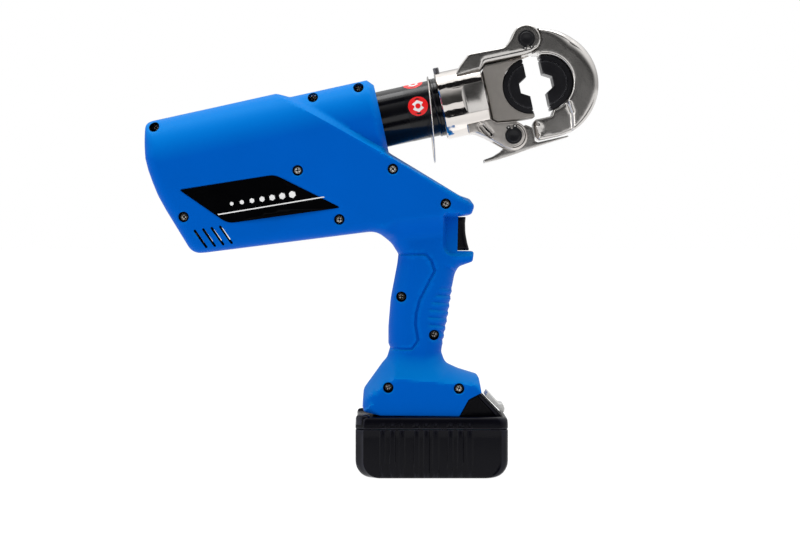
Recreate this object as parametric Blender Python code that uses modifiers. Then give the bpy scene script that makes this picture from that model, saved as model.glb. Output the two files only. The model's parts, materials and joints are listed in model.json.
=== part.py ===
"""Cordless hydraulic crimping tool with a flip-top C-head, standing on its battery.

Metres, +Z up, +X towards the head. The tool is symmetric about the XZ plane. The origin is the
middle of the battery's bottom face. The barrel is tilted up; its pieces hang from the empty
`barrel`, whose local X runs along the barrel axis (u) and local Z across it (w).
"""
import math

import bmesh
import bpy
import numpy as np
from mathutils import Vector
from mathutils.geometry import delaunay_2d_cdt

# ---- driving dimensions, mm ----
MM = 0.001
TILT = math.radians(12.4)
BARREL_X, BARREL_Z = -37.9, 269.2
R_BODY, R_FRONT, R_LIP = 36.4, 31.6, 26.8
HANDLE_HALF, FOOT_HALF = 17.5, 32.0
PANEL_SLOPE = math.tan(math.radians(11))
SPLIT_GAP = 0.15
R_TUBE, R_BORE, TUBE_END = 21.25, 17.0, 46.0
HEAD_HALF, CHEEK_IN = 18.0, 10.2
DIE_R, DIE_HALF, DIE_GAP = 21.0, 11.0, 12.0
HINGE_U, HINGE_W, LATCH_U, LATCH_W = 119.5, 35.0, 94.5, -34.0
PIN_R = 5.0
BATTERY_L, BATTERY_HALF, BATTERY_H = 114.0, 37.0, 45.5
SEAM_Z = 36.5
SCREWS = [(-208.4, 262.7), (-185.3, 195.0), (-89.3, 285.1), (-55.0, 292.5), (-99.8, 229.5),
          (-68.9, 193.1), (-29.0, 230.6), (10.4, 204.8), (-22.7, 135.0), (2.0, 106.1),
          (-32.5, 67.5), (20.4, 66.8)]
SCREW_RECESS_R = 4.0
COS, SIN = math.cos(TILT), math.sin(TILT)


def bar(u, w):
    """World (x, z) of a point given along and across the barrel."""
    return BARREL_X + u * COS - w * SIN, BARREL_Z + u * SIN + w * COS


for old in list(bpy.data.objects):
    bpy.data.objects.remove(old)
parts = bpy.data.collections.new("crimping_tool")
helpers = bpy.data.collections.new("cutters")
helpers.hide_render = True
bpy.context.scene.collection.children.link(parts)
bpy.context.scene.collection.children.link(helpers)


def material(name, rgb, rough, metal=0.0):
    mat = bpy.data.materials.new(name)
    mat.use_nodes = True
    shader = mat.node_tree.nodes["Principled BSDF"]
    shader.inputs["Base Color"].default_value = (*rgb, 1)
    shader.inputs["Roughness"].default_value = rough
    shader.inputs["Metallic"].default_value = metal
    mat.diffuse_color = (*rgb, 1)
    return mat


BLUE = ("blue_plastic", (0.0, 0.08, 0.45), 0.35)
BLACK = ("black_plastic", (0.012, 0.012, 0.016), 0.4)
CHROME = ("chrome", (0.7, 0.69, 0.67), 0.08, 1.0)
STEEL = ("steel", (0.45, 0.44, 0.43), 0.3, 1.0)
MATTE = ("blasted_steel", (0.3, 0.29, 0.28), 0.6, 1.0)
DARK = ("black_oxide", (0.02, 0.02, 0.024), 0.3, 1.0)
ALU = ("cast_aluminium", (0.5, 0.5, 0.51), 0.5, 1.0)
RUBBER = ("rubber", (0.02, 0.02, 0.02), 0.8)
COPPER = ("copper_winding", (0.5, 0.2, 0.08), 0.4, 1.0)
BOARD = ("circuit_board", (0.01, 0.15, 0.05), 0.5)
CELLS = ("cell_wrap", (0.02, 0.25, 0.3), 0.4)
BRONZE = ("bronze", (0.45, 0.27, 0.12), 0.35, 1.0)

barrel = bpy.data.objects.new("barrel", None)
barrel.location = (BARREL_X * MM, 0, BARREL_Z * MM)
barrel.rotation_euler = (0, -TILT, 0)
parts.objects.link(barrel)


def place(name, mesh, look, parent=None, at=(0, 0, 0), turn=(0, 0, 0)):
    """Links a mesh as a part, or as a cutter when it has no look."""
    obj = bpy.data.objects.new(name, mesh)
    obj.parent = parent
    obj.location = [v * MM for v in at]
    obj.rotation_euler = turn
    if look is None:
        obj.hide_render = True
        obj.display_type = "WIRE"
        helpers.objects.link(obj)
    else:
        mesh.materials.append(material(look[0] + "_" + name, *look[1:]))
        parts.objects.link(obj)
    return obj


def mesh_of(name, bm):
    bmesh.ops.recalc_face_normals(bm, faces=bm.faces)
    for vert in bm.verts:
        vert.co *= MM
    mesh = bpy.data.meshes.new(name)
    bm.to_mesh(mesh)
    bm.free()
    return mesh


def prism(name, outline, y0, y1, look, parent=None, at=(0, 0, 0), turn=(0, 0, 0)):
    """A flat outline in local X and Z, drawn out from y0 to y1."""
    bm = bmesh.new()
    face = bm.faces.new([bm.verts.new((a, y0, b)) for a, b in outline])
    drawn = bmesh.ops.extrude_face_region(bm, geom=[face])
    moved = [item for item in drawn["geom"] if isinstance(item, bmesh.types.BMVert)]
    bmesh.ops.translate(bm, verts=moved, vec=(0, y1 - y0, 0))
    return place(name, mesh_of(name, bm), look, parent, at, turn)


def block(name, low, high, look, parent=None, at=(0, 0, 0)):
    bm = bmesh.new()
    bmesh.ops.create_cube(bm, size=1)
    size = [b - a for a, b in zip(low, high)]
    middle = [(a + b) / 2 for a, b in zip(low, high)]
    bmesh.ops.scale(bm, verts=bm.verts, vec=size)
    bmesh.ops.translate(bm, verts=bm.verts, vec=middle)
    return place(name, mesh_of(name, bm), look, parent, at)


def turned(name, profile, look, parent=None, at=(0, 0, 0), turn=(0, 0, 0), steps=32, ring=False):
    """A profile of (radius, height) turned about local Z. A ring's profile closes on itself."""
    count = len(profile)
    edges = [(i, i + 1) for i in range(count - 1)]
    if ring:
        edges.append((count - 1, 0))
    mesh = bpy.data.meshes.new(name)
    mesh.from_pydata([(r * MM, 0, h * MM) for r, h in profile], edges, [])
    obj = place(name, mesh, look, parent, at, turn)
    screw = obj.modifiers.new("turn", "SCREW")
    screw.steps = steps
    screw.render_steps = steps
    screw.use_merge_vertices = True
    screw.merge_threshold = 0.00001
    screw.use_smooth_shade = True
    return obj


def rod(name, radius, low, high, look, steps=24, **where):
    profile = [(0, high), (radius, high), (radius, low), (0, low)]
    return turned(name, profile, look, steps=steps, **where)


ALONG = (0, math.pi / 2, 0)  # local Z laid along the barrel axis
ACROSS = (math.pi / 2, 0, 0)  # local Z laid along -Y


def cut(obj, cutter, operation="DIFFERENCE"):
    boolean = obj.modifiers.new(cutter.name, "BOOLEAN")
    boolean.object = cutter
    boolean.operation = operation
    boolean.solver = "EXACT"
    return obj


def chamfer(obj, width, segments=1, angle=40):
    bevel = obj.modifiers.new("edges", "BEVEL")
    bevel.width = width * MM
    bevel.segments = segments
    bevel.limit_method = "ANGLE"
    bevel.angle_limit = math.radians(angle)
    return obj


def rounded(knots, step=5.0):
    """A closed outline through corner knots (a, b, radius, extra...), each corner an arc.
    Returns the points and the extras carried along them."""
    points, extras = [], []
    count = len(knots)
    for i in range(count):
        here = Vector(knots[i][:2])
        before = Vector(knots[i - 1][:2]) - here
        after = Vector(knots[(i + 1) % count][:2]) - here
        turn_by = math.pi - before.angle(after)
        reach = knots[i][2] * math.tan(turn_by / 2)
        reach = min(reach, before.length * 0.49, after.length * 0.49)
        start = here + before.normalized() * reach
        end = here + after.normalized() * reach
        parts_in = max(1, math.ceil(turn_by / math.radians(34))) if reach > 0.3 else 0
        if parts_in == 0:
            points.append(here)
            extras.append(knots[i][3:])
            continue
        for j in range(parts_in + 1):
            t = j / parts_in
            points.append(start * (1 - t) ** 2 + here * 2 * t * (1 - t) + end * t ** 2)
            extras.append(knots[i][3:])
    if step:
        dense, dense_extra = [], []
        for i, point in enumerate(points):
            follow = points[(i + 1) % len(points)]
            pieces = max(1, round((follow - point).length / step))
            for j in range(pieces):
                t = j / pieces
                dense.append(point.lerp(follow, t))
                here, there = extras[i], extras[(i + 1) % len(points)]
                dense_extra.append([a + (b - a) * t for a, b in zip(here, there)])
        points, extras = dense, dense_extra
    return [tuple(p) for p in points], extras


def arc(cx, cz, radius, start, end, count):
    """Points on an arc, by angles in degrees."""
    angles = [math.radians(start + (end - start) * i / count) for i in range(count + 1)]
    return [(cx + radius * math.cos(a), cz + radius * math.sin(a)) for a in angles]


# ---- housing: a moulded shell in two halves ----
# Outline knots: along/across the barrel or world x, z; corner radius; edge round inwards, and how
# far the side falls over it.
def knot(a, b, radius, inward, fall, on_barrel=False):
    x, z = bar(a, b) if on_barrel else (a, b)
    return x, z, radius, inward, fall


HOUSING = [
    knot(-174.0, 36.4, 6, 4, 3, True),
    knot(-179.5, 8, 60, 9, 10, True),
    knot(-175.8, -22, 120, 9, 10, True),
    knot(-160.3, -69.2, 11, 8, 8, True),
    knot(-41.5, 184.8, 22, 8, 9),
    knot(-30.0, 175.5, 20, 11, 15),
    knot(-25.0, 167.2, 2, 14, 17),
    knot(-25.8, 160, 30, 15, 17),
    knot(-30.8, 134, 60, 15, 17),
    knot(-32.6, 112, 60, 15, 17),
    knot(-32.6, 99.5, 3, 15, 17),
    knot(-31.3, 96.5, 1, 15, 17),
    knot(-33.5, 89, 8, 15, 17),
    knot(-37.0, 85.0, 10, 14, 17),
    knot(-51.3, 65, 8, 12, 18),
    knot(-52.0, 52.3, 3, 11, 14),
    knot(-50.3, 48.6, 3, 8, 8),
    knot(-38, 46.4, 10, 1, 1),
    knot(20.6, 46.0, 0, 0.5, 0.5),
    knot(27.5, 58.6, 4, 0.5, 0.5),
    knot(37.3, 63.6, 0.8, 1, 1),
    knot(35.6, 75.2, 4, 8, 12),
    knot(20, 80.3, 12, 9, 14),
    knot(10.5, 85, 8, 13, 17),
    knot(7.6, 93, 6, 15, 17),
    knot(9.0, 102, 10, 15, 17),
    knot(12.4, 120, 60, 15, 17),
    knot(16.0, 143, 60, 15, 17),
    knot(17.8, 152, 15, 14, 17),
    knot(20.5, 157.5, 6, 8, 12),
    knot(31.2, 161.6, 2.5, 4, 5),
    knot(32.2, 169.4, 2, 2, 3),
    knot(19.6, 169.6, 0, 0.5, 0.5),
    knot(20.2, 195.6, 0, 0.5, 0.5),
    knot(29.8, 196.9, 3, 3, 4),
    knot(32.3, 203, 5, 5, 6),
    knot(29.2, 209, 4, 6, 7),
    knot(21, 211.2, 12, 5.5, 5),
    knot(0.2, -25.6, 0.8, 4, 4, True),
    knot(0, 26.8, 0, 0.2, 0.1, True),
    knot(-4.5, 31.6, 0, 0.2, 0.1, True),
    knot(-64.5, 31.6, 4, 0.2, 0.1, True),
    knot(-74.5, 36.4, 5, 0.2, 0.1, True),
]


def side_height(x, z):
    """Distance of the housing's side from the split plane, before its edges are rounded."""
    u = (x - BARREL_X) * COS + (z - BARREL_Z) * SIN
    w = -(x - BARREL_X) * SIN + (z - BARREL_Z) * COS
    main = np.sqrt(np.maximum(R_BODY ** 2 - np.maximum(w, 0) ** 2, 0.04))
    below = -17.8 - 0.0632 * (u + 174) - w
    left = -0.659 * (u + 77) - 0.751 * (w + 25)
    main = main - PANEL_SLOPE * np.maximum(np.minimum(below, left), 0)
    main = main - 10 * np.clip((x + 10) / 42, 0, 1) ** 2
    radius = R_FRONT - (R_FRONT - R_LIP) * np.clip((u + 4.5) / 4.5, 0, 1)
    front = np.sqrt(np.maximum(radius ** 2 - w ** 2, 0.04))
    step = np.clip((0.665 * (u + 32.9) + 0.747 * (w - 1.8) + 2) / 4, 0, 1)
    body = main * (1 - step) + front * step
    neck = 0.452 * (x + 27.7) - 0.892 * (z - 194.3)
    under = np.minimum(194.3 + 0.1195 * (x + 27.7) - z, neck)
    blend = np.clip(under / 19, 0, 1)
    blend = blend * blend * (3 - 2 * blend)
    upper = body + (HANDLE_HALF - body) * blend
    crease = np.minimum(70.5 - 0.083 * (x - 18.5), 74.3 + 0.69 * (x + 27.2))
    climb = np.clip(1 - (z - crease) / 19, 0, 1)
    lower = HANDLE_HALF + (FOOT_HALF - HANDLE_HALF) * climb ** 2
    height = np.where(z > 130, upper, lower)
    scoop = np.minimum(np.minimum(x - 8.6, z - 165.3), 197.0 - z)
    corner = 8 - np.hypot(np.minimum(x - 16.6, 0), np.minimum(z - 173.3, 0))
    scoop = np.where((x < 16.6) & (z < 173.3), corner, scoop)
    dip = np.clip(scoop / 2.5, 0, 1)
    return np.where(dip > 0, height + (11.0 - height) * dip, height)


def half_housing(name, side, look):
    """One half: the moulded side over the outline, closed by a flat face at the split."""
    outline, edge = rounded(HOUSING, 9.0)
    outline = np.array(outline)
    edge = np.array(edge)
    following = np.roll(outline, -1, axis=0)
    run = following - outline

    def distance(points):
        away = points[:, None] - outline[None]
        t = np.clip((away * run).sum(2) / (run ** 2).sum(1), 0, 1)
        gap = np.linalg.norm(away - t[..., None] * run, axis=2)
        nearest = gap.argmin(1)
        at = t[np.arange(len(points)), nearest][:, None]
        mixed = edge[nearest] * (1 - at) + np.roll(edge, -1, axis=0)[nearest] * at
        return gap.min(1), mixed

    def inside(points):
        a, b = outline[None], following[None]
        p = points[:, None]
        crosses = (a[..., 1] > p[..., 1]) != (b[..., 1] > p[..., 1])
        span = np.where(b[..., 1] == a[..., 1], 1, b[..., 1] - a[..., 1])
        where = a[..., 0] + (p[..., 1] - a[..., 1]) * (b[..., 0] - a[..., 0]) / span
        return (crosses & (p[..., 0] < where)).sum(1) % 2 == 1

    def height(points):
        gap, mixed = distance(points)
        inward, fall = np.maximum(mixed[:, 0], 0.2), mixed[:, 1]
        t = np.clip(1 - gap / inward, 0, 1)
        flat = side_height(points[:, 0], points[:, 1])
        return np.maximum(flat - fall * (1 - np.sqrt(1 - t * t)), 0.5 + SPLIT_GAP)

    spacing = 11.0
    grid = np.array([(x + (row % 2) * spacing / 2, z)
                     for row, z in enumerate(np.arange(44, 300, spacing * 0.866))
                     for x in np.arange(-222, 46, spacing)])
    along = np.arange(2, 84, 7.0)
    creases = [bar(-69.4 + 0.747 * s, 31.0 - 0.665 * s) for s in along]
    creases += [bar(-66.8 + 0.747 * s, 34.0 - 0.665 * s) for s in along]
    creases += [bar(s, -17.8 - 0.0632 * (s + 174)) for s in range(-170, -80, 8)]
    creases += [(s, 194.5 + 0.1195 * (s + 27.7)) for s in range(-26, 24, 6)]
    creases += [(s, 71.5 - 0.06 * (s + 10)) for s in range(-28, 34, 7)]
    creases += [bar(s, w) for w in (34.6, 31.0) for s in range(-164, -78, 8)]
    creases += [bar(s, 29.6) for s in range(-60, -8, 8)]
    creases += [(9.6, 190), (11.6, 190), (9.4, 180), (11.4, 180), (12, 169), (13.2, 171)]
    creases += [(18.8, s) for s in (172, 178, 184, 190)]
    creases = np.array(creases)
    far = np.array([np.linalg.norm(creases - p, axis=1).min() for p in grid])
    points = np.vstack([grid[far > spacing * 0.55], creases])
    gap, _ = distance(points)
    points = points[inside(points) & (gap > 1.6)]
    near = []
    for i, corner in enumerate(outline):
        normal = np.array([-run[i][1], run[i][0]]) / max(np.linalg.norm(run[i]), 1e-6)
        reach = edge[i][0] * 0.32
        if reach > 1.2:
            near.append(corner + run[i] / 2 + normal * reach)
    near = np.array(near)
    gap, _ = distance(near)
    near = near[inside(near) & (gap > 1.1)]
    far = np.array([np.linalg.norm(near - p, axis=1).min() for p in points])
    points = np.vstack([points[far > 2.2], near])
    count = len(outline)
    every = np.vstack([outline, points])
    ring = [(i, (i + 1) % count) for i in range(count)]
    flat = [Vector(p) for p in every]
    result = delaunay_2d_cdt(flat, ring, [list(range(count))], 1, 1e-5)
    plane = np.array([tuple(v) for v in result[0]])
    skin = height(plane)
    verts = [(p[0], side * h, p[1]) for p, h in zip(plane, skin)]
    faces = [list(f) for f in result[2]]
    origin = [i for i, found in enumerate(result[3]) if found and found[0] < count]
    origin.sort(key=lambda i: result[3][i][0])
    base = len(verts)
    verts += [(plane[i][0], side * SPLIT_GAP, plane[i][1]) for i in origin]
    for k, i in enumerate(origin):
        j = (k + 1) % len(origin)
        faces.append([i, origin[j], base + j, base + k])
    faces.append([base + k for k in range(len(origin))])
    bm = bmesh.new()
    made = [bm.verts.new(v) for v in verts]
    for f in faces:
        bm.faces.new([made[i] for i in f])
    obj = place(name, mesh_of(name, bm), look)

    # The hollow: barrel space, lower bay, handle, foot; then the bosses go back in.
    tag = "_" + name
    far_y, wall_y = -side * 1.0, side
    profile = [(0, 8), (R_TUBE + 0.3, 8), (R_TUBE + 0.3, -7), (28.4, -7), (28.4, -75),
               (33.2, -75), (33.2, -167), (26, -172), (0, -172)]
    cut(obj, turned("bay_barrel" + tag, profile, None, barrel, turn=ALONG, steps=32))
    bay = [bar(-169.3, 5), bar(-168.3, -22), bar(-155, -61.5), (-50, 188.5), (-30, 198),
           (13, 202), bar(-12, -34), bar(-30, 5)]
    cut(obj, prism("bay_lower" + tag, bay, far_y, wall_y * 21.5, None))
    grip = [(-29, 200), (-21, 168), (-21.8, 160), (-26.8, 134), (-28.6, 112), (-28.4, 98),
            (-30, 88), (-36, 80), (-47, 65), (-47, 52), (-38, 49.5), (19, 49.5), (24, 59),
            (32, 64.5), (31.5, 72.5), (12, 79), (4, 88), (3.6, 93), (5, 103), (8.5, 121),
            (11.8, 144), (5.5, 165), (5.5, 200)]
    cut(obj, prism("bay_grip" + tag, grip, far_y, wall_y * 8.6, None))
    foot = [(-46, 50.4), (18, 50.4), (23, 60), (30, 65), (30, 69), (-26, 71), (-44, 61)]
    cut(obj, prism("bay_foot" + tag, foot, far_y, wall_y * 20.5, None))
    for low_x, high_x, wide, low_z, high_z in ((2, 26, 9.4, 169.9, 195.45),
                                               (-47, 45, 14.4, 44, 50),
                                               (-46.5, 46, 18.6, 49.3, 53.2)):
        ends = sorted((far_y, wall_y * wide))
        cut(obj, block(f"way_{low_z:.0f}{tag}", (low_x, ends[0], low_z),
                       (high_x, ends[1], high_z), None))
    for i, (x, z) in enumerate(SCREWS):
        reach = [(4.4 * math.cos(k), 4.4 * math.sin(k)) for k in (0, 1, 2, 3, 4, 5)]
        rim = height(np.array([(x + p, z + q) for p, q in reach]))
        floor = max(rim.min() - 2.5, 7.0)
        seat_depth[i] = floor
        turn = (math.pi / 2, 0, 0) if side < 0 else (-math.pi / 2, 0, 0)
        where = {"at": (x, 0, z), "turn": turn}
        boss = rod(f"boss{i}{tag}", 5.3, 0.8, floor - 0.9, None, 10, **where)
        cut(obj, boss, "UNION")
        if side < 0:
            profile = [(0, 60), (SCREW_RECESS_R, 60), (SCREW_RECESS_R, floor - 2.6),
                       (1.9, floor - 2.6), (1.9, -2), (0, -2)]
            cut(obj, turned(f"screw_hole{i}{tag}", profile, None, steps=16, **where))
        else:
            cut(obj, rod(f"screw_hole{i}{tag}", 1.9, -2, 6.2, None, 8, **where))
    if True:
        for i in range(4):
            a = bar(-154.2 + 6.4 * i, -52.5 - 0.35 * i)
            b = bar(-148.6 + 6.4 * i, -66.5 - 0.35 * i)
            lean = Vector((b[0] - a[0], b[1] - a[1])).normalized() * 0.9
            wide = Vector((-lean.y, lean.x))
            slot = [(a[0] - wide.x, a[1] - wide.y), (a[0] + wide.x, a[1] + wide.y),
                    (b[0] + wide.x, b[1] + wide.y), (b[0] - wide.x, b[1] - wide.y)]
            cut(obj, prism(f"vent{i}{tag}", slot, far_y, wall_y * 45, None))
    return obj, height


seat_depth = {}
shell_right, surface = half_housing("shell_right", -1, BLUE)
shell_left, _ = half_housing("shell_left", 1, BLUE)

# ---- nameplates: a slanted lozenge with two rounded corners, on the lower panel ----
PLATE = [(-158.3, -20.6, 1), (-86.5, -24.9, 14), (-43.6, -59.4, 1), (-129.0, -52.6, 14)]
for name, side in (("nameplate_right", -1), ("nameplate_left", 1)):
    rim, _ = rounded([(*bar(a, b), r) for a, b, r in PLATE], 0)
    bm = bmesh.new()
    heights = surface(np.array(rim))
    depth = {}
    top = [bm.verts.new((x, side * (h + 0.9), z)) for (x, z), h in zip(rim, heights)]
    low = [bm.verts.new((x, side * (h + 0.3), z)) for (x, z), h in zip(rim, heights)]
    for i in range(len(rim)):
        j = (i + 1) % len(rim)
        bm.faces.new((top[i], top[j], low[j], low[i]))
    bm.faces.new(top)
    bm.faces.new(low)
    place(name, mesh_of(name, bm), BLACK)

# ---- case screws ----
for i, (x, z) in enumerate(SCREWS):
    head = seat_depth[i] - 2.6 + 0.1
    profile = [(0, head + 2.2), (2.0, head + 2.2), (2.9, head + 1.4), (2.9, head),
               (1.5, head), (1.5, -5.5), (0, -5.5)]
    turned(f"case_screw_{i + 1:02d}", profile, STEEL, at=(x, 0, z), turn=ACROSS, steps=10)


# ---- drive: motor, planetary gearbox, eccentric ----
def on_barrel(**more):
    return {"parent": barrel, "turn": ALONG, **more}


profile = [(21, -114), (21, -160), (19.3, -160), (19.3, -116), (4.5, -116), (4.5, -114)]
turned("motor_can", profile, STEEL, ring=True, **on_barrel())
profile = [(20.8, -160.3), (20.8, -166), (6, -169), (2.8, -169), (2.8, -160.3)]
turned("motor_end_cap", profile, BLACK, ring=True, **on_barrel())
profile = [(0, -93.6), (2.5, -93.6), (2.5, -119), (8, -121), (14, -123), (14, -150), (8, -152),
           (6, -157), (2.5, -157), (2.5, -167.5), (0, -167.5)]
turned("motor_rotor", profile, COPPER, steps=20, **on_barrel())


def toothed(teeth, root, tip):
    return [((tip if k % 2 else root) * math.cos(math.pi * k / teeth),
             (tip if k % 2 else root) * math.sin(math.pi * k / teeth)) for k in range(2 * teeth)]


# Tooth tips stop just short of the pitch circles, so meshed wheels run clear of each other.
SUN, PLANET, RING = 12, 18, 48
MODULE = 0.75
CENTRE = MODULE * (SUN + PLANET) / 2
GEAR_LOW, GEAR_HIGH = -105.5, -95.0


def gear(name, teeth, bore, low, high, at_y=0.0, at_w=0.0):
    pitch = teeth * MODULE / 2
    wheel = prism(name, toothed(teeth, pitch - 1.1, pitch - 0.15), low, high, STEEL, barrel,
                  at=(0, at_y, at_w), turn=(0, 0, -math.pi / 2))
    hole = rod("bore_" + name, bore, low - 2, high + 2, None, 12, parent=wheel,
               turn=(-math.pi / 2, 0, 0))
    return cut(wheel, hole)


gear("sun_pinion", SUN, 2.6, GEAR_LOW - 2, GEAR_HIGH + 1)
for i in range(3):
    angle = math.radians(90 + 120 * i)
    gear(f"planet_{i + 1}", PLANET, 2.4, GEAR_LOW, GEAR_HIGH,
         CENTRE * math.cos(angle), CENTRE * math.sin(angle))
ring_gear = turned("ring_gear", [(24.5, -91), (24.5, -107.5), (20, -107.5), (20, -91)], STEEL,
                   ring=True, steps=32, **on_barrel())
pitch = RING * MODULE / 2
teeth = prism("ring_teeth", [(24.0 * math.cos(a), 24.0 * math.sin(a)) for a in
                             np.linspace(0, 2 * math.pi, 24, endpoint=False)],
              GEAR_LOW, GEAR_HIGH, None, barrel, turn=(0, 0, -math.pi / 2))
inner = prism("ring_gap", toothed(RING, pitch + 0.15, pitch + 1.1), GEAR_LOW - 1, GEAR_HIGH + 1,
              None, barrel, turn=(0, 0, -math.pi / 2))
cut(ring_gear, cut(teeth, inner), "UNION")

ECC, ECC_R = 2.5, 7.0
profile = [(0, -73.5), (4, -73.5), (4, -89.5), (17, -89.5), (17, -92.5), (0, -92.5)]
carrier = turned("planet_carrier", profile, STEEL, steps=24, **on_barrel())
for i in range(3):
    angle = math.radians(90 + 120 * i)
    at = (0, CENTRE * math.cos(angle), CENTRE * math.sin(angle))
    cut(carrier, rod(f"planet_pin_{i}", 2.1, -104.5, -91, None, 10, **on_barrel(at=at)), "UNION")
cut(carrier, rod("eccentric", ECC_R, -87.0, -77.0, None, 20, **on_barrel(at=(0, 0, ECC))), "UNION")
profile = [(11, -77.5), (11, -86.5), (ECC_R + 0.1, -86.5), (ECC_R + 0.1, -77.5)]
turned("eccentric_bearing", profile, STEEL, ring=True, **on_barrel(at=(0, 0, ECC)))

fan = turned("motor_fan", [(4.6, -109.5), (4.6, -112.5), (2.6, -112.5), (2.6, -109.5)], BLACK,
             ring=True, steps=16, **on_barrel())
for i in range(7):
    a = 2 * math.pi * i / 7
    blade = block(f"blade_{i}", (-112.3, -0.7, 3.6), (-110.0, 0.7, 17), None, barrel)
    blade.rotation_euler = (a, 0, 0)
    cut(fan, blade, "UNION")

# ---- pump, cylinder, ram ----
PUMP_U = -82.0
profile = [(0, -9), (16.7, -9), (16.7, -20.3), (19.6, -20.3), (19.6, -72.8), (0, -72.8)]
pump = turned("pump_body", profile, ALU, **on_barrel())
cut(pump, block("pump_arm", (-89, -9, -39), (-75, 9, -14.5), None, barrel), "UNION")
cut(pump, block("pump_bridge", (-76, -8.5, -19.3), (-68, 8.5, -14.9), None, barrel), "UNION")
cut(pump, rod("plunger_bore", 4.05, -50, -10, None, 20, parent=barrel, at=(PUMP_U, 0, 0)))
cut(pump, rod("shaft_socket", 4.1, -80, -70, None, 20, **on_barrel()))
cut(pump, rod("valve_pocket", 3.3, -45, -14, None, 16, parent=barrel, at=(-36, 0, 0)))
cut(pump, rod("oil_way", 2.0, -30, -5, None, 10, **on_barrel()))
PLUNGER_TOP = -(11 + ECC) - 0.3
profile = [(0, PLUNGER_TOP), (4, PLUNGER_TOP), (4, PLUNGER_TOP - 21), (0, PLUNGER_TOP - 21)]
turned("pump_plunger", profile, STEEL, parent=barrel, at=(PUMP_U, 0, 0), steps=20)
profile = [(0, -14.6), (3, -14.6), (3, -21), (4.2, -21), (4.2, -24), (0, -24)]
turned("relief_valve", profile, BRONZE, parent=barrel, at=(-36, 0, 0), steps=16)
bag = bmesh.new()
bmesh.ops.create_icosphere(bag, subdivisions=2, radius=1)
bmesh.ops.scale(bag, verts=bag.verts, vec=(24, 15, 11))
place("oil_bladder", mesh_of("oil_bladder", bag), RUBBER, barrel, at=(-116, 0, -40))

profile = [(R_TUBE, 41.6), (R_TUBE, -20.0), (R_BORE, -20.0), (R_BORE, TUBE_END),
           (22.2, TUBE_END), (22.2, 41.6)]
turned("cylinder", profile, DARK, ring=True, steps=40, **on_barrel())
profile = [(0, 90.4), (9, 90.4), (9, 6), (15, 6), (16.9, 5), (16.9, 2.5), (14.4, 2.5), (14.4, -1.5),
           (16.9, -1.5), (16.9, -5), (0, -5)]
turned("ram", profile, STEEL, steps=32, **on_barrel())
profile = [(16.9, 2.2), (16.9, -1.2), (14.6, -1.2), (14.6, 2.2)]
turned("ram_seal", profile, RUBBER, ring=True, steps=32, **on_barrel())


def spring(name, radius, wire, turns, low, high, per_turn=10, **where):
    """A coil about local Z, as a curve with a round bevel."""
    curve = bpy.data.curves.new(name, "CURVE")
    curve.dimensions = "3D"
    curve.bevel_depth = wire * MM
    curve.bevel_resolution = 1
    curve.use_fill_caps = True
    line = curve.splines.new("POLY")
    count = int(turns * per_turn)
    line.points.add(count)
    for i in range(count + 1):
        a = 2 * math.pi * i / per_turn
        h = low + wire + (high - low - 2 * wire) * i / count
        line.points[i].co = (radius * math.cos(a) * MM, radius * math.sin(a) * MM, h * MM, 1)
    return place(name, curve, STEEL, **where)


spring("return_spring", 12.5, 1.4, 4, 20.5, 45.5, **on_barrel())
spring("plunger_spring", 2.8, 0.6, 2, -38.7, PLUNGER_TOP - 21.2, 8, parent=barrel,
       at=(PUMP_U, 0, 0))

# ---- head: fork, set screw, hang ring ----
profile = [(0, 80.5), (25.6, 80.5), (25.6, TUBE_END + 0.3), (0, TUBE_END + 0.3)]
fork = turned("head_fork", profile, CHROME, steps=40, **on_barrel())
for name, side in (("flat_right", -1), ("flat_left", 1)):
    low, high = sorted((side * HEAD_HALF, side * 40))
    cut(fork, block(name, (64, low, -40), (90, high, 40), None, barrel))
upper = [(62, 21), (66, 26.2), (75, 33), (103, 32.3), (108.2, 36.5)]
upper += arc(HINGE_U, HINGE_W, 11, 165, -50, 9)
upper += [(120, 23.6), (84, 23.0), (79, 18), (62, 15)]
cut(fork, prism("arm_upper", upper, -HEAD_HALF, HEAD_HALF, None, barrel), "UNION")
lower = [(62, -25), (62, -12), (79, -17), (84, -23.4), (99, -24.3)]
lower += arc(LATCH_U, LATCH_W, 10.8, 60, -110, 7)
lower += [(87.5, -42), (75, -31), (68, -26)]
cut(fork, prism("ear_lower", lower, -HEAD_HALF, HEAD_HALF, None, barrel), "UNION")
slot = arc(HINGE_U, HINGE_W, 13.2, 192, 128, 5) + [(140, 50), (140, 10), (104, 10), (104, 30)]
cut(fork, prism("knuckle_slot", slot, -CHEEK_IN, CHEEK_IN, None, barrel))
slot = [(81.8, -18), (81.8, -34), (66, -38), (66, -60), (120, -60), (120, -18)]
cut(fork, prism("latch_slot", slot, -8.3, 8.3, None, barrel))
cut(fork, rod("hinge_bore", PIN_R + 0.1, -30, 30, None, 24, parent=barrel,
              at=(HINGE_U, 0, HINGE_W), turn=ACROSS))
cut(fork, rod("latch_bore", PIN_R + 0.1, -30, 30, None, 24, parent=barrel,
              at=(LATCH_U, 0, LATCH_W), turn=ACROSS))
cut(fork, rod("ram_way", 9.1, 40, 90, None, 24, **on_barrel()))
cut(fork, rod("set_hole", 2.6, 20, 40, None, 12, parent=barrel, at=(48.6, 0, 0)))
profile = [(0, 29.6), (2.2, 29.6), (2.2, 22.5), (0, 22.5)]
turned("set_screw", profile, DARK, parent=barrel, at=(48.6, 0, 0), steps=12)

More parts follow.
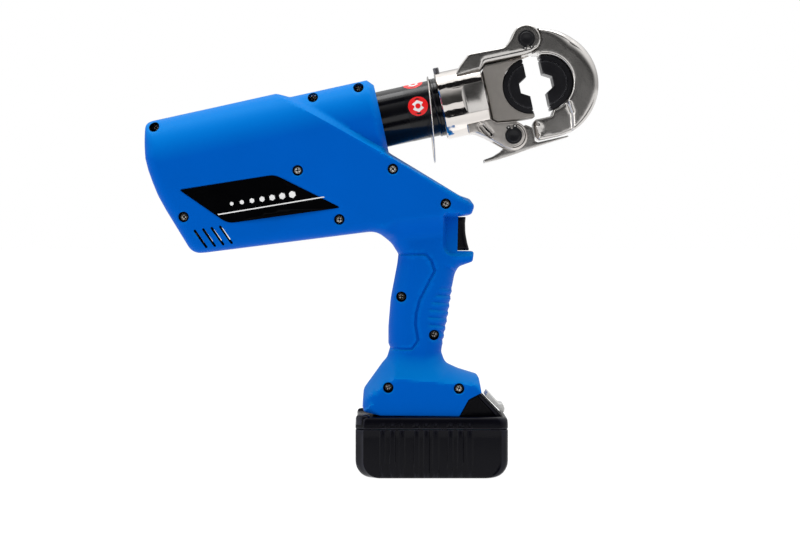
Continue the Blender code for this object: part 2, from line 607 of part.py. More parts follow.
RING_R, RING_HALF = 31.6, 1.6
LEAN = math.radians(7.2)
TOP_U, TOP_W = 41.0, 22.95
profile = [(RING_R + RING_HALF, 0.6), (RING_R + RING_HALF, -0.6), (RING_R - RING_HALF, -0.6),
           (RING_R - RING_HALF, 0.6)]
hang_pivot = bpy.data.objects.new("hang_pivot", None)
hang_pivot.parent = barrel
hang_pivot.location = (TOP_U * MM, 0, TOP_W * MM)
hang_pivot.rotation_euler = (0, math.pi / 2 + LEAN, 0)
parts.objects.link(hang_pivot)
turned("hang_ring", profile, STEEL, ring=True, steps=40, parent=hang_pivot, at=(RING_R, 0, 0))

# ---- dies, die holder, jaw ----
HEX_SIDE, HEX_DEEP = 7.4, 6.3
NOTCH = [(0, HEX_SIDE), (HEX_DEEP, HEX_SIDE / 2), (HEX_DEEP, -HEX_SIDE / 2), (0, -HEX_SIDE)]
MOVING_U, FIXED_U = 115.3, 126.5


reach = math.degrees(math.acos(-1.7 / (DIE_R - 0.2)))
outline = arc(0, 0, DIE_R - 0.2, reach, 360 - reach, 20)
outline += [(-1.7 - d, -w) for d, w in NOTCH]
prism("die_moving", outline, -DIE_HALF, DIE_HALF, DARK, barrel, at=(MOVING_U, 0, 0))
outline = arc(0, 0, DIE_R - 0.2, 90, -90, 20) + [(d, -w) for d, w in NOTCH]
jaw_pivot = bpy.data.objects.new("jaw_pivot", None)
jaw_pivot.parent = barrel
jaw_pivot.location = (HINGE_U * MM, 0, HINGE_W * MM)
parts.objects.link(jaw_pivot)
prism("die_fixed", outline, -DIE_HALF, DIE_HALF, DARK, jaw_pivot,
      at=(FIXED_U - HINGE_U, 0, -HINGE_W))

outline = [(82.2, 19.5), (84.5, 21.9), (113.6, 21.9)]
outline += arc(MOVING_U, 0, DIE_R + 0.1, 95, 265, 18)
outline += [(113.6, -23.4), (97, -22.7), (84.5, -21.4), (82.2, -19.5)]
holder = prism("die_holder", outline, -16, 16, MATTE, barrel)
cut(holder, rod("ram_socket", 9.15, 78, 90.8, None, 24, **on_barrel()))

outline = arc(0, 0, 11, 250, 75, 9)
outline += arc(125 - HINGE_U, -1 - HINGE_W, 41.7, 83, -69, 20)
outline += [(a - HINGE_U, b - HINGE_W) for a, b in
            [(130, -41.2), (113.6, -41.4), (111.2, -39), (111.2, -28), (113.6, -25.5),
             (126.4, -25.5), (128.4, -21.5)]]
outline += arc(FIXED_U - HINGE_U, -HINGE_W, DIE_R + 0.1, -82, 88, 18)
outline += [(126.6 - HINGE_U, 22.6 - HINGE_W)]
jaw = prism("jaw", outline, -17, 17, CHROME, jaw_pivot)
weights = jaw.data.attributes.new("bevel_weight_edge", "FLOAT", "EDGE")
middle = Vector((125 - HINGE_U, -1 - HINGE_W))
for edge in jaw.data.edges:
    ends = [jaw.data.vertices[v].co / MM for v in edge.vertices]
    outer = all(abs((Vector((p.x, p.z)) - middle).length - 41.7) < 0.3 for p in ends)
    if outer and abs(ends[0].y - ends[1].y) < 1:
        weights.data[edge.index].value = 1.0
bevel = jaw.modifiers.new("outer_round", "BEVEL")
bevel.limit_method = "WEIGHT"
bevel.width = 6.5 * MM
bevel.segments = 2
for side in (-1, 1):
    low, high = sorted((side * 9.9, side * 30))
    cheek = rod(f"cheek_room_{side + 1}", 11.6, low, high, None, 32, parent=jaw_pivot,
                turn=(-math.pi / 2, 0, 0))
    cut(jaw, cheek)
cut(jaw, rod("jaw_bore", PIN_R + 0.1, -30, 30, None, 24, parent=jaw_pivot, turn=ACROSS))


def pin_and_clip(name, at, lugs):
    profile = [(0, 21), (PIN_R, 21), (PIN_R, 19.9), (4.2, 19.9), (4.2, 18.3), (PIN_R, 18.3),
               (PIN_R, -19.5), (0, -19.5)]
    turned(name, profile, DARK, parent=barrel, at=at, turn=ACROSS, steps=20)
    lug = math.radians(lugs)
    outline = [(6.3 * math.cos(lug + a), 6.3 * math.sin(lug + a))
               for a in np.radians(np.linspace(34, 326, 14))]
    for r, a in ((8.4, 331), (8.4, 350), (4.35, 352)):
        outline.append((r * math.cos(lug + math.radians(a)), r * math.sin(lug + math.radians(a))))
    outline += [(4.35 * math.cos(lug + a), 4.35 * math.sin(lug + a))
                for a in np.radians(np.linspace(334, 26, 12))]
    for r, a in ((4.35, 8), (8.4, 10), (8.4, 29)):
        outline.append((r * math.cos(lug + math.radians(a)), r * math.sin(lug + math.radians(a))))
    prism(name + "_clip", outline, -19.6, -18.6, DARK, barrel, at=at)


pin_and_clip("jaw_pin", (HINGE_U, 0, HINGE_W), -90)
pin_and_clip("latch_pin", (LATCH_U, 0, LATCH_W), 90)

outline = [(69, -49.1), (69.3, -46.7), (76, -45.8), (82, -43.6)]
outline += [(a, b) for a, b in arc(LATCH_U, LATCH_W, 8.8, 222, 30, 10)]
outline += [(110.2, -30.5), (110.2, -41.2), (112, -42.5), (135.4, -42.4), (135.6, -43.4),
            (120, -44.7), (105, -46), (95, -47.4), (80, -48.8)]
outline = [(a - LATCH_U, b - LATCH_W) for a, b in outline]
lever = prism("latch_lever", outline, -8, 8, CHROME, barrel, at=(LATCH_U, 0, LATCH_W))
cut(lever, rod("lever_bore", PIN_R + 0.1, -30, 30, None, 24, parent=lever, turn=ACROSS))
cut(lever, rod("lever_side", 8.9, 5.2, 12, None, 24, parent=lever, turn=ACROSS))
spring("latch_spring", 6.4, 0.5, 1.5, 5.6, 7.9, 10, parent=barrel, at=(LATCH_U, 0, LATCH_W),
       turn=ACROSS)

# ---- trigger group, board, terminals ----
outline = [(9.5, 171.4), (21.6, 170.3), (28.7, 170.3), (27.5, 175), (26.4, 181), (25.9, 187.5),
           (26.1, 195), (9.5, 195)]
trigger = prism("trigger", outline, -9, 9, BLACK)
cut(trigger, rod("trigger_pocket", 3.6, 0, 17, None, 16, at=(0, 0, 182), turn=ALONG))
chamfer(trigger, 0.7, 1, 60)
spring("trigger_spring", 2.8, 0.4, 4, 1.2, 10.4, 8, at=(0, 0, 182), turn=ALONG)
block("switch_body", (-16, -8, 171), (0.8, 8, 193), BLACK)
block("control_board", (-14, -8, 104), (-12.4, 8, 158), BOARD)
terminals = block("terminal_block", (-24, -13, 53.6), (8, 13, 61), BLACK)
for side in (-1, 1):
    cut(terminals, block(f"blade_{side + 1}", (-8, side * 9 - 0.5, 43.4),
                         (2, side * 9 + 0.5, 55), None), "UNION")

# ---- battery ----
HALF_L = BATTERY_L / 2
corner = 6.4
plan = [(-HALF_L, -BATTERY_HALF + corner), (-HALF_L + corner, -BATTERY_HALF),
        (HALF_L - corner, -BATTERY_HALF), (HALF_L, -BATTERY_HALF + corner),
        (HALF_L, BATTERY_HALF - corner), (HALF_L - corner, BATTERY_HALF),
        (-HALF_L + corner, BATTERY_HALF), (-HALF_L, BATTERY_HALF - corner)]
UPRIGHT = (math.pi / 2, 0, 0)
side_view = [(-HALF_L, SEAM_Z)] + [(-HALF_L, 14)] + arc(-HALF_L + 13, 13, 13, 190, 270, 5)
side_view += arc(HALF_L - 13, 13, 13, 270, 350, 5) + [(HALF_L, 14), (HALF_L, SEAM_Z)]
lower_case = prism("battery_case_lower", side_view, -BATTERY_HALF, BATTERY_HALF, BLACK)
cut(lower_case, prism("plan_lower", plan, -5, 60, None, turn=UPRIGHT), "INTERSECT")
cut(lower_case, block("cell_bay", (-53, -34, 9), (53, 34, 60), None))
cut(lower_case, block("cell_bay_low", (-48, -34, 2.5), (48, 34, 9.5), None))
upper_case = prism("battery_case_upper", plan, SEAM_Z + 0.3, BATTERY_H, BLACK, turn=UPRIGHT)
cut(upper_case, block("upper_bay", (-53, -34, 30), (53, 34, 42.9), None))
wedge = [(21.2, 45), (28.0, 58.4), (37.6, 63.0), (54.2, 45)]
cut(upper_case, prism("wedge", wedge, -22, 22, None), "UNION")
cut(upper_case, block("rail_stem", (-44, -14, 45), (24, 14, 50.5), None), "UNION")
cut(upper_case, block("rail_head", (-44, -18, 50.1), (23.6, 18, 52.6), None), "UNION")
cut(upper_case, block("wedge_hollow", (27, -17, 40), (33, 17, 54), None))
for side in (-1, 1):
    cut(upper_case, block(f"blade_slot_{side + 1}", (-70, side * 9 - 1.2, 42),
                          (3, side * 9 + 1.2, 60), None))
    post = rod(f"rear_post_{side + 1}", 5.0, 40, 47.4, None, 16, at=(-51.5, side * 30.5, 0))
    # flat on the inside, so that the foot clears it as the battery slides out
    cut(post, block(f"post_flank_{side + 1}", (-60, -32.4, 45.2), (-40, 32.4, 50), None))
    cut(upper_case, post, "UNION")
pack = block("cell_pack", (-40, -4, 12), (40, 4, 31), CELLS)
for row in (12.2, 30.7):
    for i in range(5):
        where = {"at": (18.45 * (i - 2), 0, row), "turn": ACROSS}
        cut(pack, rod(f"cell_{i}_{row:.0f}", 9.1, -32.5, 32.5, None, 14, **where), "UNION")

FACE_LEAN = math.atan2(63.0 - 45, 54.2 - 37.6)
face_at = (37.6, 0, 63.0)
face_turn = (0, FACE_LEAN, 0)  # local X runs down the wedge's face, local Z out of it
button_bay = block("button_bay", (2.2, -15.4, -4.2), (18.8, 15.4, 6), None, at=face_at)
button_bay.rotation_euler = face_turn
cut(upper_case, button_bay)
spring_bay = rod("spring_bay", 3.4, -8, -3, None, 16, turn=face_turn,
                 at=(face_at[0] + 10.5 * math.cos(FACE_LEAN), 0,
                     face_at[2] - 10.5 * math.sin(FACE_LEAN)))
cut(upper_case, spring_bay)
button = block("battery_button", (2.6, -15, -0.9), (18.4, 15, 2.4), ("silver_plastic",
               (0.6, 0.6, 0.6), 0.35), at=face_at)
button.rotation_euler = face_turn
chamfer(button, 0.6)
spring("button_spring", 2.6, 0.45, 2.5, -7.8, -4.3, 8, turn=face_turn,
       at=(face_at[0] + 10.5 * math.cos(FACE_LEAN), 0, face_at[2] - 10.5 * math.sin(FACE_LEAN)))
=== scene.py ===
"""Looks of a cordless hydraulic crimping tool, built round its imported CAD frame.

The barrel is tilted up. Its pieces are built in millimetres as (u, y, w): u along the barrel, y
across the tool and w across the barrel, and one matrix sets them in the row frame.
"""
import json
import math

import bmesh
import bpy
import numpy as np
from mathutils import Matrix, Vector, kdtree
from mathutils.geometry import delaunay_2d_cdt


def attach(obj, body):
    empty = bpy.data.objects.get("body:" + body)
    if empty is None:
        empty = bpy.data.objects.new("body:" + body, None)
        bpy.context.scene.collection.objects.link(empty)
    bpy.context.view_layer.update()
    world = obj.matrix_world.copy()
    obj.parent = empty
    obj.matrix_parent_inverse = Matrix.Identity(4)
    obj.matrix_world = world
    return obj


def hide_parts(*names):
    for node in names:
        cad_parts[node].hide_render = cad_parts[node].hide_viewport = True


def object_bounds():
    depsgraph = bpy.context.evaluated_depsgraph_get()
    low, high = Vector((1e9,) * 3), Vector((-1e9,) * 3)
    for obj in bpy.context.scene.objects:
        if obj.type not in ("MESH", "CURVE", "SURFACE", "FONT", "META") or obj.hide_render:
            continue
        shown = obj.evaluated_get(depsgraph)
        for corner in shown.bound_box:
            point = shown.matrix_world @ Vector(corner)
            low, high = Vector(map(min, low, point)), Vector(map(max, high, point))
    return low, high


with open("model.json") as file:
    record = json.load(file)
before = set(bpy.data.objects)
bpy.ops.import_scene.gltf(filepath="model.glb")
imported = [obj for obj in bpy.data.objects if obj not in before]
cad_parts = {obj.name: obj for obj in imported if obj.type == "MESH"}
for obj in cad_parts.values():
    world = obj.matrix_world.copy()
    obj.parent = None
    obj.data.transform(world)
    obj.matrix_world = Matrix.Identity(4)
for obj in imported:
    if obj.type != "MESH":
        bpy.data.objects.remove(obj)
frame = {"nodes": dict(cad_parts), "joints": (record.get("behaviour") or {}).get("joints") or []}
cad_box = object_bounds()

MM = 0.001
JOINTS = {joint["name"]: joint for joint in frame["joints"]}
AXIS = JOINTS["head_swivel"]["axis"]
TILT = math.atan2(AXIS[2], AXIS[0])
COS, SIN = math.cos(TILT), math.sin(TILT)
HINGE_U, HINGE_W, LATCH_U, LATCH_W = 119.5, 35.0, 94.5, -34.0
hinge = [v / MM for v in JOINTS["jaw_hinge"]["pos_m"]]
BAR_X = hinge[0] - HINGE_U * COS + HINGE_W * SIN
BAR_Z = hinge[2] - HINGE_U * SIN - HINGE_W * COS
BARREL = Matrix.Translation((BAR_X * MM, 0, BAR_Z * MM)) @ Matrix.Rotation(-TILT, 4, "Y")
WORLD = Matrix.Identity(4)
R_BODY, R_FRONT, R_LIP = 36.4, 31.6, 26.8
HANDLE_HALF, FOOT_HALF = 17.5, 32.0
SPLIT_GAP = 0.15


def bar(u, w):
    """Row-frame (x, z) in millimetres of a point along and across the barrel."""
    return BAR_X + u * COS - w * SIN, BAR_Z + u * SIN + w * COS


# ---- materials ----


TOP_LIGHT_FROM, TOP_LIGHT_TO = 0.04, 0.75  # z of a face's normal where the painted light from above starts, and where it is full
EDGE_FROM, EDGE_TO = 0.52, 0.62  # pointiness where the painted edge highlight starts, and where it is full
RELIEF = 0.00012  # depth of the fine grain, in metres
SWELL_SIZE = 110.0


def new_material(name):
    mat = bpy.data.materials.new(name)
    mat.use_nodes = True
    return mat, mat.node_tree.nodes, mat.node_tree.links


def ranged(nodes, links, value, low, high, to_low, to_high, easing="LINEAR"):
    """The value carried from one range to another, and held inside it."""
    node = nodes.new("ShaderNodeMapRange")
    node.interpolation_type = easing
    for socket, number in (("From Min", low), ("From Max", high), ("To Min", to_low),
                           ("To Max", to_high)):
        node.inputs[socket].default_value = number
    links.new(value, node.inputs["Value"])
    return node.outputs["Result"]


def surface(name, base, rough, metal=0.0, spread=0.12, scale=60.0, grain=900.0, bump=0.1,
            rough_spread=0.08, specular=0.5, stretch=None, edge_highlight=None, tint=None, wave=0.0,
            upper=None):
    """A Principled finish whose colour, roughness and fine relief vary over the surface. The
    colours given for edges and for upward faces, each with its strength, paint a highlight on
    convex edges and the light from above on faces that look up."""
    mat, nodes, links = new_material(name)
    shader = nodes["Principled BSDF"]
    shader.inputs["Metallic"].default_value = metal
    shader.inputs["Specular IOR Level"].default_value = specular
    if tint:
        shader.inputs["Specular Tint"].default_value = (*tint, 1)
    space = nodes.new("ShaderNodeTexCoord").outputs["Object"]
    if stretch:
        mapping = nodes.new("ShaderNodeMapping")
        mapping.inputs["Scale"].default_value = stretch
        links.new(space, mapping.inputs["Vector"])
        space = mapping.outputs["Vector"]

    def noise(size, detail):
        node = nodes.new("ShaderNodeTexNoise")
        node.inputs["Scale"].default_value = size
        node.inputs["Detail"].default_value = detail
        links.new(space, node.inputs["Vector"])
        return node.outputs["Fac"]

    def shaded(colour, shade, factor):
        node = nodes.new("ShaderNodeMix")
        node.data_type = "RGBA"
        node.inputs["B"].default_value = (*shade, 1)
        links.new(colour, node.inputs["A"])
        links.new(factor, node.inputs["Factor"])
        return node.outputs["Result"]

    def relief(height, strength, depth):
        node = nodes.new("ShaderNodeBump")
        node.inputs["Strength"].default_value = strength
        node.inputs["Distance"].default_value = depth
        links.new(height, node.inputs["Height"])
        return node

    broad, fine = noise(scale, 4.0), noise(grain, 3.0)
    mix = nodes.new("ShaderNodeMix")
    mix.data_type = "RGBA"
    mix.inputs["A"].default_value = (*[v * (1 - spread) for v in base], 1)
    mix.inputs["B"].default_value = (*[min(1, v * (1 + spread)) for v in base], 1)
    links.new(broad, mix.inputs["Factor"])
    colour = mix.outputs["Result"]
    if upper or edge_highlight:
        form = nodes.new("ShaderNodeNewGeometry")
    # painted light from above: faces that look up are mixed toward a paler colour
    if upper:
        parted = nodes.new("ShaderNodeSeparateXYZ")
        links.new(form.outputs["Normal"], parted.inputs["Vector"])
        lift = ranged(nodes, links, parted.outputs["Z"], TOP_LIGHT_FROM, TOP_LIGHT_TO, 0, upper[3])
        colour = shaded(colour, upper[:3], lift)
    # painted highlight: convex edges are mixed toward a paler colour, as where light catches them
    if edge_highlight:
        edge_lit = ranged(nodes, links, form.outputs["Pointiness"], EDGE_FROM, EDGE_TO, 0, edge_highlight[3])
        colour = shaded(colour, edge_highlight[:3], edge_lit)
    links.new(colour, shader.inputs["Base Color"])
    rough = ranged(nodes, links, broad, 0, 1, max(0.02, rough - rough_spread),
                   min(1.0, rough + rough_spread))
    links.new(rough, shader.inputs["Roughness"])
    grainy = relief(fine, bump, RELIEF)
    links.new(grainy.outputs["Normal"], shader.inputs["Normal"])
    if wave:
        swell = relief(noise(SWELL_SIZE, 1.0), 1.0, wave)
        links.new(swell.outputs["Normal"], grainy.inputs["Normal"])
    return mat


# Blue plastic: painted azure light from above on upward faces, and painted azure highlights on
# convex edges.
BLUE = surface("blue_plastic", (0.0001, 0.098, 0.50), 0.38, spread=0.05, scale=25, grain=1600,
               rough_spread=0.05, specular=0.035, edge_highlight=(0.0, 0.23, 0.78, 0.6),
               tint=(0.02, 0.62, 1.0), upper=(0.0001, 0.185, 0.60, 1.0))
# Black plastic: the paler convex edges are painted highlights.
BLACK = surface("black_plastic", (0.0018, 0.0018, 0.0038), 0.21, spread=0.2, scale=40, grain=1500,
                bump=0.08, rough_spread=0.05, specular=0.13, edge_highlight=(0.06, 0.062, 0.085, 0.8))
# Black for the walls and floors of holes, vents, slots and grooves that the helpers cut: painted
# shade for the dark inside them.
HOLE_SHADE = surface("hole_painted_shade", (0.003, 0.003, 0.004), 0.6, spread=0.3, specular=0.2)
PLATE = surface("nameplate_black", (0.0006, 0.0006, 0.001), 0.22, spread=0.2, grain=600, bump=0.03,
                specular=0.06)
PRINT = surface("white_print", (0.80, 0.80, 0.80), 0.5, spread=0.05, bump=0.05)
PAINT = surface("tube_black", (0.0016, 0.0017, 0.003), 0.16, spread=0.25, scale=80, grain=500,
                bump=0.05, rough_spread=0.05, specular=0.35)
FILM = surface("tube_film", (0.0022, 0.0022, 0.0035), 0.22, spread=0.2, scale=80, bump=0.05,
               specular=0.3)
RED = surface("label_red", (0.80, 0.004, 0.006), 0.35, spread=0.06, bump=0.04)
# Polished steel: the paler convex edges are painted highlights.
CHROME = surface("polished_steel", (0.66, 0.62, 0.59), 0.09, 1.0, spread=0.06, scale=90,
                 grain=700, bump=0.05, rough_spread=0.05, edge_highlight=(0.85, 0.82, 0.78, 0.4), wave=0.0005)
# Ground steel: the paler convex edges are painted highlights.
GROUND = surface("ground_steel", (0.58, 0.56, 0.54), 0.18, 1.0, spread=0.10, scale=50, grain=1800,
                 bump=0.06, rough_spread=0.05, edge_highlight=(0.85, 0.82, 0.78, 0.35))
EDGE = surface("turned_edge", (0.75, 0.75, 0.78), 0.28, 0.9, spread=0.1, bump=0.05)
CLIP = surface("clip_black", (0.006, 0.006, 0.008), 0.34, 0.2, spread=0.3, specular=0.4)
SATIN = surface("satin_steel", (0.60, 0.565, 0.535), 0.32, 1.0, spread=0.10, scale=220,
                grain=1600, bump=0.12)
BLASTED = surface("blasted_steel", (0.40, 0.375, 0.35), 0.52, 1.0, scale=300, grain=1400,
                  bump=0.5, rough_spread=0.1)
# Black oxide: the paler convex edges are painted highlights.
OXIDE = surface("black_oxide", (0.010, 0.010, 0.013), 0.32, 0.6, spread=0.3, scale=120,
                bump=0.12, rough_spread=0.1, edge_highlight=(0.20, 0.20, 0.22, 0.8))
NICKEL = surface("nickel", (0.93, 0.88, 0.82), 0.48, 1.0, spread=0.2, scale=500, grain=1500,
                 bump=0.15, rough_spread=0.12)
SILVER = surface("silver_plastic", (0.72, 0.72, 0.70), 0.34, 0.35, spread=0.05, bump=0.08)
STEEL = surface("turned_steel", (0.50, 0.49, 0.47), 0.3, 1.0, spread=0.1, scale=200,
                bump=0.12, stretch=(1, 4, 4))
ALUMINIUM = surface("cast_aluminium", (0.52, 0.53, 0.54), 0.55, 1.0, scale=150, bump=0.6)
COPPER = surface("copper", (0.55, 0.21, 0.08), 0.35, 1.0, spread=0.2, scale=300, grain=1400,
                 bump=0.4)
RUBBER = surface("rubber", (0.012, 0.012, 0.012), 0.75, spread=0.2, grain=1200, bump=0.3)
BOARD = surface("board_green", (0.008, 0.12, 0.045), 0.45, spread=0.3, scale=400, bump=0.2)
WRAP = surface("cell_wrap", (0.01, 0.20, 0.26), 0.35, spread=0.1, scale=80, bump=0.05)
BRASS = surface("brass", (0.60, 0.40, 0.16), 0.3, 1.0, spread=0.1, scale=200, bump=0.15)


# ---- mesh helpers ----


def smooth(obj, sharp):
    obj.data.shade_smooth()
    obj.data.set_sharp_from_angle(angle=math.radians(sharp))


def settle(obj, sharp, body, *nodes):
    """Smooths a finished piece, seats it on its CAD body and hides the CAD nodes that it replaces.
    """
    smooth(obj, sharp)
    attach(obj, body)
    if nodes:
        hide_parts(*nodes)


def finish_piece(name, bm, mat, body, nodes=(), matrix=WORLD, sharp=38.0):
    """Makes a bmesh given in millimetres into a piece, on a CAD body or still loose."""
    bmesh.ops.recalc_face_normals(bm, faces=bm.faces)
    for vert in bm.verts:
        vert.co = matrix @ (vert.co * MM)
    mesh = bpy.data.meshes.new(name)
    bm.to_mesh(mesh)
    bm.free()
    mesh.materials.append(mat)
    obj = bpy.data.objects.new(name, mesh)
    bpy.context.scene.collection.objects.link(obj)
    if body:
        settle(obj, sharp, body, *nodes)
    else:
        smooth(obj, sharp)
    return obj


def band(bm, a, b):
    """Joins two closed rings of points, or a ring and a single point, with faces."""
    for i in range(max(len(a), len(b))):
        j = i + 1
        corners = (a[i % len(a)], a[j % len(a)], b[j % len(b)], b[i % len(b)])
        corners = tuple(dict.fromkeys(corners))
        if len(corners) > 2:
            bm.faces.new(corners)


def bake(obj):
    """Replaces the object's mesh with its evaluated mesh, and drops its modifiers."""
    graph = bpy.context.evaluated_depsgraph_get()
    graph.update()
    mesh = bpy.data.meshes.new_from_object(obj.evaluated_get(graph))
    obj.modifiers.clear()
    old = obj.data
    obj.data = mesh
    bpy.data.meshes.remove(old)
    mesh.name = obj.name
    return obj


def rounded(knots, step=0.0, turn_step=9.0):
    """A closed outline through knots (a, b, radius, extras...), each corner an arc. Returns the
    points and, for each, the extras blended along the outline."""
    points, extras = [], []
    count = len(knots)
    for i, (a, b, radius, *more) in enumerate(knots):
        here = Vector((a, b))
        before = Vector(knots[i - 1][:2]) - here
        after = Vector(knots[(i + 1) % count][:2]) - here
        turn_by = math.pi - before.angle(after)
        reach = radius * math.tan(turn_by / 2)
        reach = min(reach, before.length * 0.49, after.length * 0.49)
        if reach < 0.02:
            points.append(here)
            extras.append(more)
            continue
        start = here + before.normalized() * reach
        end = here + after.normalized() * reach
        steps = max(2, math.ceil(turn_by / math.radians(turn_step)))
        for j in range(steps + 1):
            t = j / steps
            points.append(start * (1 - t) ** 2 + here * 2 * t * (1 - t) + end * t ** 2)
            extras.append(more)
    if step:
        dense, dense_extra = [], []
        for i, point in enumerate(points):
            follow = points[(i + 1) % len(points)]
            pieces = max(1, round((follow - point).length / step))
            for j in range(pieces):
                t = j / pieces
                dense.append(point.lerp(follow, t))
                pair = zip(extras[i], extras[(i + 1) % len(points)])
                dense_extra.append([p + (q - p) * t for p, q in pair])
        points, extras = dense, dense_extra
    return np.array([tuple(p) for p in points]), np.array(extras, float)


def rod(radius, low, high):
    """The profile of a plain round rod."""
    return [(0, low), (radius, low), (radius, high), (0, high)]


def oblong(a, b, c, d):
    """The outline of a rectangle between two opposite corners."""
    return [(a, b), (c, b), (c, d), (a, d)]


def around(ca, cb, radius, angles, extra=()):
    """Points round a centre at angles in radians, each with the same extras."""
    return [(ca + radius * math.cos(t), cb + radius * math.sin(t), *extra) for t in angles]


def arc(ca, cb, radius, start, end, count, extra=()):
    """Points on an arc between two angles in degrees."""
    angles = [math.radians(start + (end - start) * i / count) for i in range(count + 1)]
    return around(ca, cb, radius, angles, extra)


EDGE_TURNS = (10, 20, 31, 42, 54, 66, 78, 90)  # degrees round an edge where points are set
BATCH = 1500  # points measured against an outline at a time


class Outline:
    """A closed outline (anticlockwise) whose points carry an edge rounding (inward, fall)."""

    def __init__(self, points, edge):
        following = np.roll(points, -1, axis=0)
        area = (points[:, 0] * following[:, 1] - points[:, 1] * following[:, 0]).sum()
        if area < 0:
            points, edge = points[::-1].copy(), edge[::-1].copy()
        self.points, self.edge = points, edge
        self.next = np.roll(points, -1, axis=0)
        self.run = self.next - points
        self.length = np.maximum(np.linalg.norm(self.run, axis=1), 1e-9)

    def distance(self, where):
        """Distance to the outline and the edge rounding at its nearest point."""
        gaps, mixes = [], []
        following = np.roll(self.edge, -1, axis=0)
        for part in np.array_split(where, max(1, len(where) // BATCH)):
            away = part[:, None] - self.points[None]
            t = np.clip((away * self.run).sum(2) / self.length ** 2, 0, 1)
            off = away - t[..., None] * self.run
            gap = np.hypot(off[..., 0], off[..., 1])
            nearest = gap.argmin(1)
            at = t[np.arange(len(part)), nearest][:, None]
            gaps.append(gap.min(1))
            mixes.append(self.edge[nearest] * (1 - at) + following[nearest] * at)
        return np.concatenate(gaps), np.vstack(mixes)

    def inside(self, where):
        found = []
        for part in np.array_split(where, max(1, len(where) // BATCH)):
            a, b, p = self.points[None], self.next[None], part[:, None]
            crosses = (a[..., 1] > p[..., 1]) != (b[..., 1] > p[..., 1])
            span = np.where(b[..., 1] == a[..., 1], 1, b[..., 1] - a[..., 1])
            at = a[..., 0] + (p[..., 1] - a[..., 1]) * (b[..., 0] - a[..., 0]) / span
            found.append((crosses & (p[..., 0] < at)).sum(1) % 2 == 1)
        return np.concatenate(found)

    def rings(self):
        """Points set in from the outline where the edge rounding turns by each angle."""
        normal = np.stack([-self.run[:, 1], self.run[:, 0]], 1) / self.length[:, None]
        normal = normal + np.roll(normal, 1, axis=0)
        normal /= np.maximum(np.linalg.norm(normal, axis=1), 1e-9)[:, None]
        made = []
        for angle in EDGE_TURNS:
            reach = self.edge[:, :1] * (1 - math.cos(math.radians(angle)))
            inset = self.points + normal * reach
            gap, _ = self.distance(inset)
            keep = (gap > reach[:, 0] * 0.96) & (reach[:, 0] > 0.04) & self.inside(inset)
            made.append(inset[keep])
        return np.vstack(made)


def thinned(groups, apart):
    """Joins point groups in order, leaving out a point nearer than its group's spacing."""
    kept = []
    for points, space in zip(groups, apart):
        if len(points) == 0:
            continue
        if space <= 0 or not kept:
            kept.append(points)
            continue
        settled = np.vstack(kept)
        tree = kdtree.KDTree(len(settled))
        for i, p in enumerate(settled):
            tree.insert((p[0], p[1], 0), i)
        tree.balance()
        far = [tree.find((p[0], p[1], 0))[2] > space for p in points]
        kept.append(points[np.array(far)])
    return np.vstack([np.zeros((0, 2)), *kept])


def plane_mesh(shape, spacing, features=()):
    """Triangles over an outline: (points, faces, indices of the outline's own points)."""
    low, high = shape.points.min(0), shape.points.max(0)
    rows = np.arange(low[1], high[1], spacing * 0.866)
    grid = np.array([(x + (k % 2) * spacing / 2, z) for k, z in enumerate(rows)
                     for x in np.arange(low[0], high[0], spacing)])
    rings = shape.rings()
    grid = grid[shape.inside(grid)]
    gap, _ = shape.distance(grid)
    grid = grid[gap > spacing * 0.5]
    marks = np.vstack(features) if len(features) else np.zeros((0, 2))
    if len(marks):
        marks = marks[shape.inside(marks)]
        gap, _ = shape.distance(marks)
        marks = marks[gap > 0.25]
    inner = thinned([marks, rings, grid], [0, 0.22, spacing * 0.55])
    count = len(shape.points)
    every = np.vstack([shape.points, inner])
    ring = [(i, (i + 1) % count) for i in range(count)]
    made = delaunay_2d_cdt([Vector(p) for p in every], ring, [list(range(count))], 1, 1e-4)
    flat = np.array([tuple(v) for v in made[0]])
    rim = [i for i, found in enumerate(made[3]) if found and found[0] < count]
    rim.sort(key=lambda i: made[3][i][0])
    return flat, made[2], rim


def lifted(shape, flat, top, floor):
    """Height of each point: the given top, less the edge rounding, never under the floor."""
    gap, edge = shape.distance(flat)
    inward, fall = np.maximum(edge[:, 0], 0.05), edge[:, 1]
    t = np.clip(1 - gap / inward, 0, 1)
    return np.maximum(top - fall * (1 - np.sqrt(np.maximum(1 - t * t, 0))), floor)


SLAB_SHARP = 58.0


def slab(name, knots, half, mat, body, nodes=(), matrix=BARREL, spacing=2.2, step=1.4, shape=None,
         features=(), centre=0.0):
    """A piece with one outline in (u, w), rounded on both of its faces. A height function may
    shape the faces; knots carry (a, b, radius, inward, fall)."""
    outline = Outline(*rounded(knots, step))
    flat, faces, rim = plane_mesh(outline, spacing, features)
    top = np.full(len(flat), float(half))
    if shape:
        top = shape(flat[:, 0], flat[:, 1], top)
    skin = lifted(outline, flat, top, 0.2)
    bm = bmesh.new()
    layers = []
    for side in (-1, 1):
        layer = [bm.verts.new((p[0], centre + side * h, p[1])) for p, h in zip(flat, skin)]
        layers.append(layer)
        for f in faces:
            turn = f if side < 0 else f[::-1]
            bm.faces.new([layer[i] for i in turn])
    band(bm, [layers[1][i] for i in rim], [layers[0][i] for i in rim])
    return finish_piece(name, bm, mat, body, nodes, matrix, SLAB_SHARP)


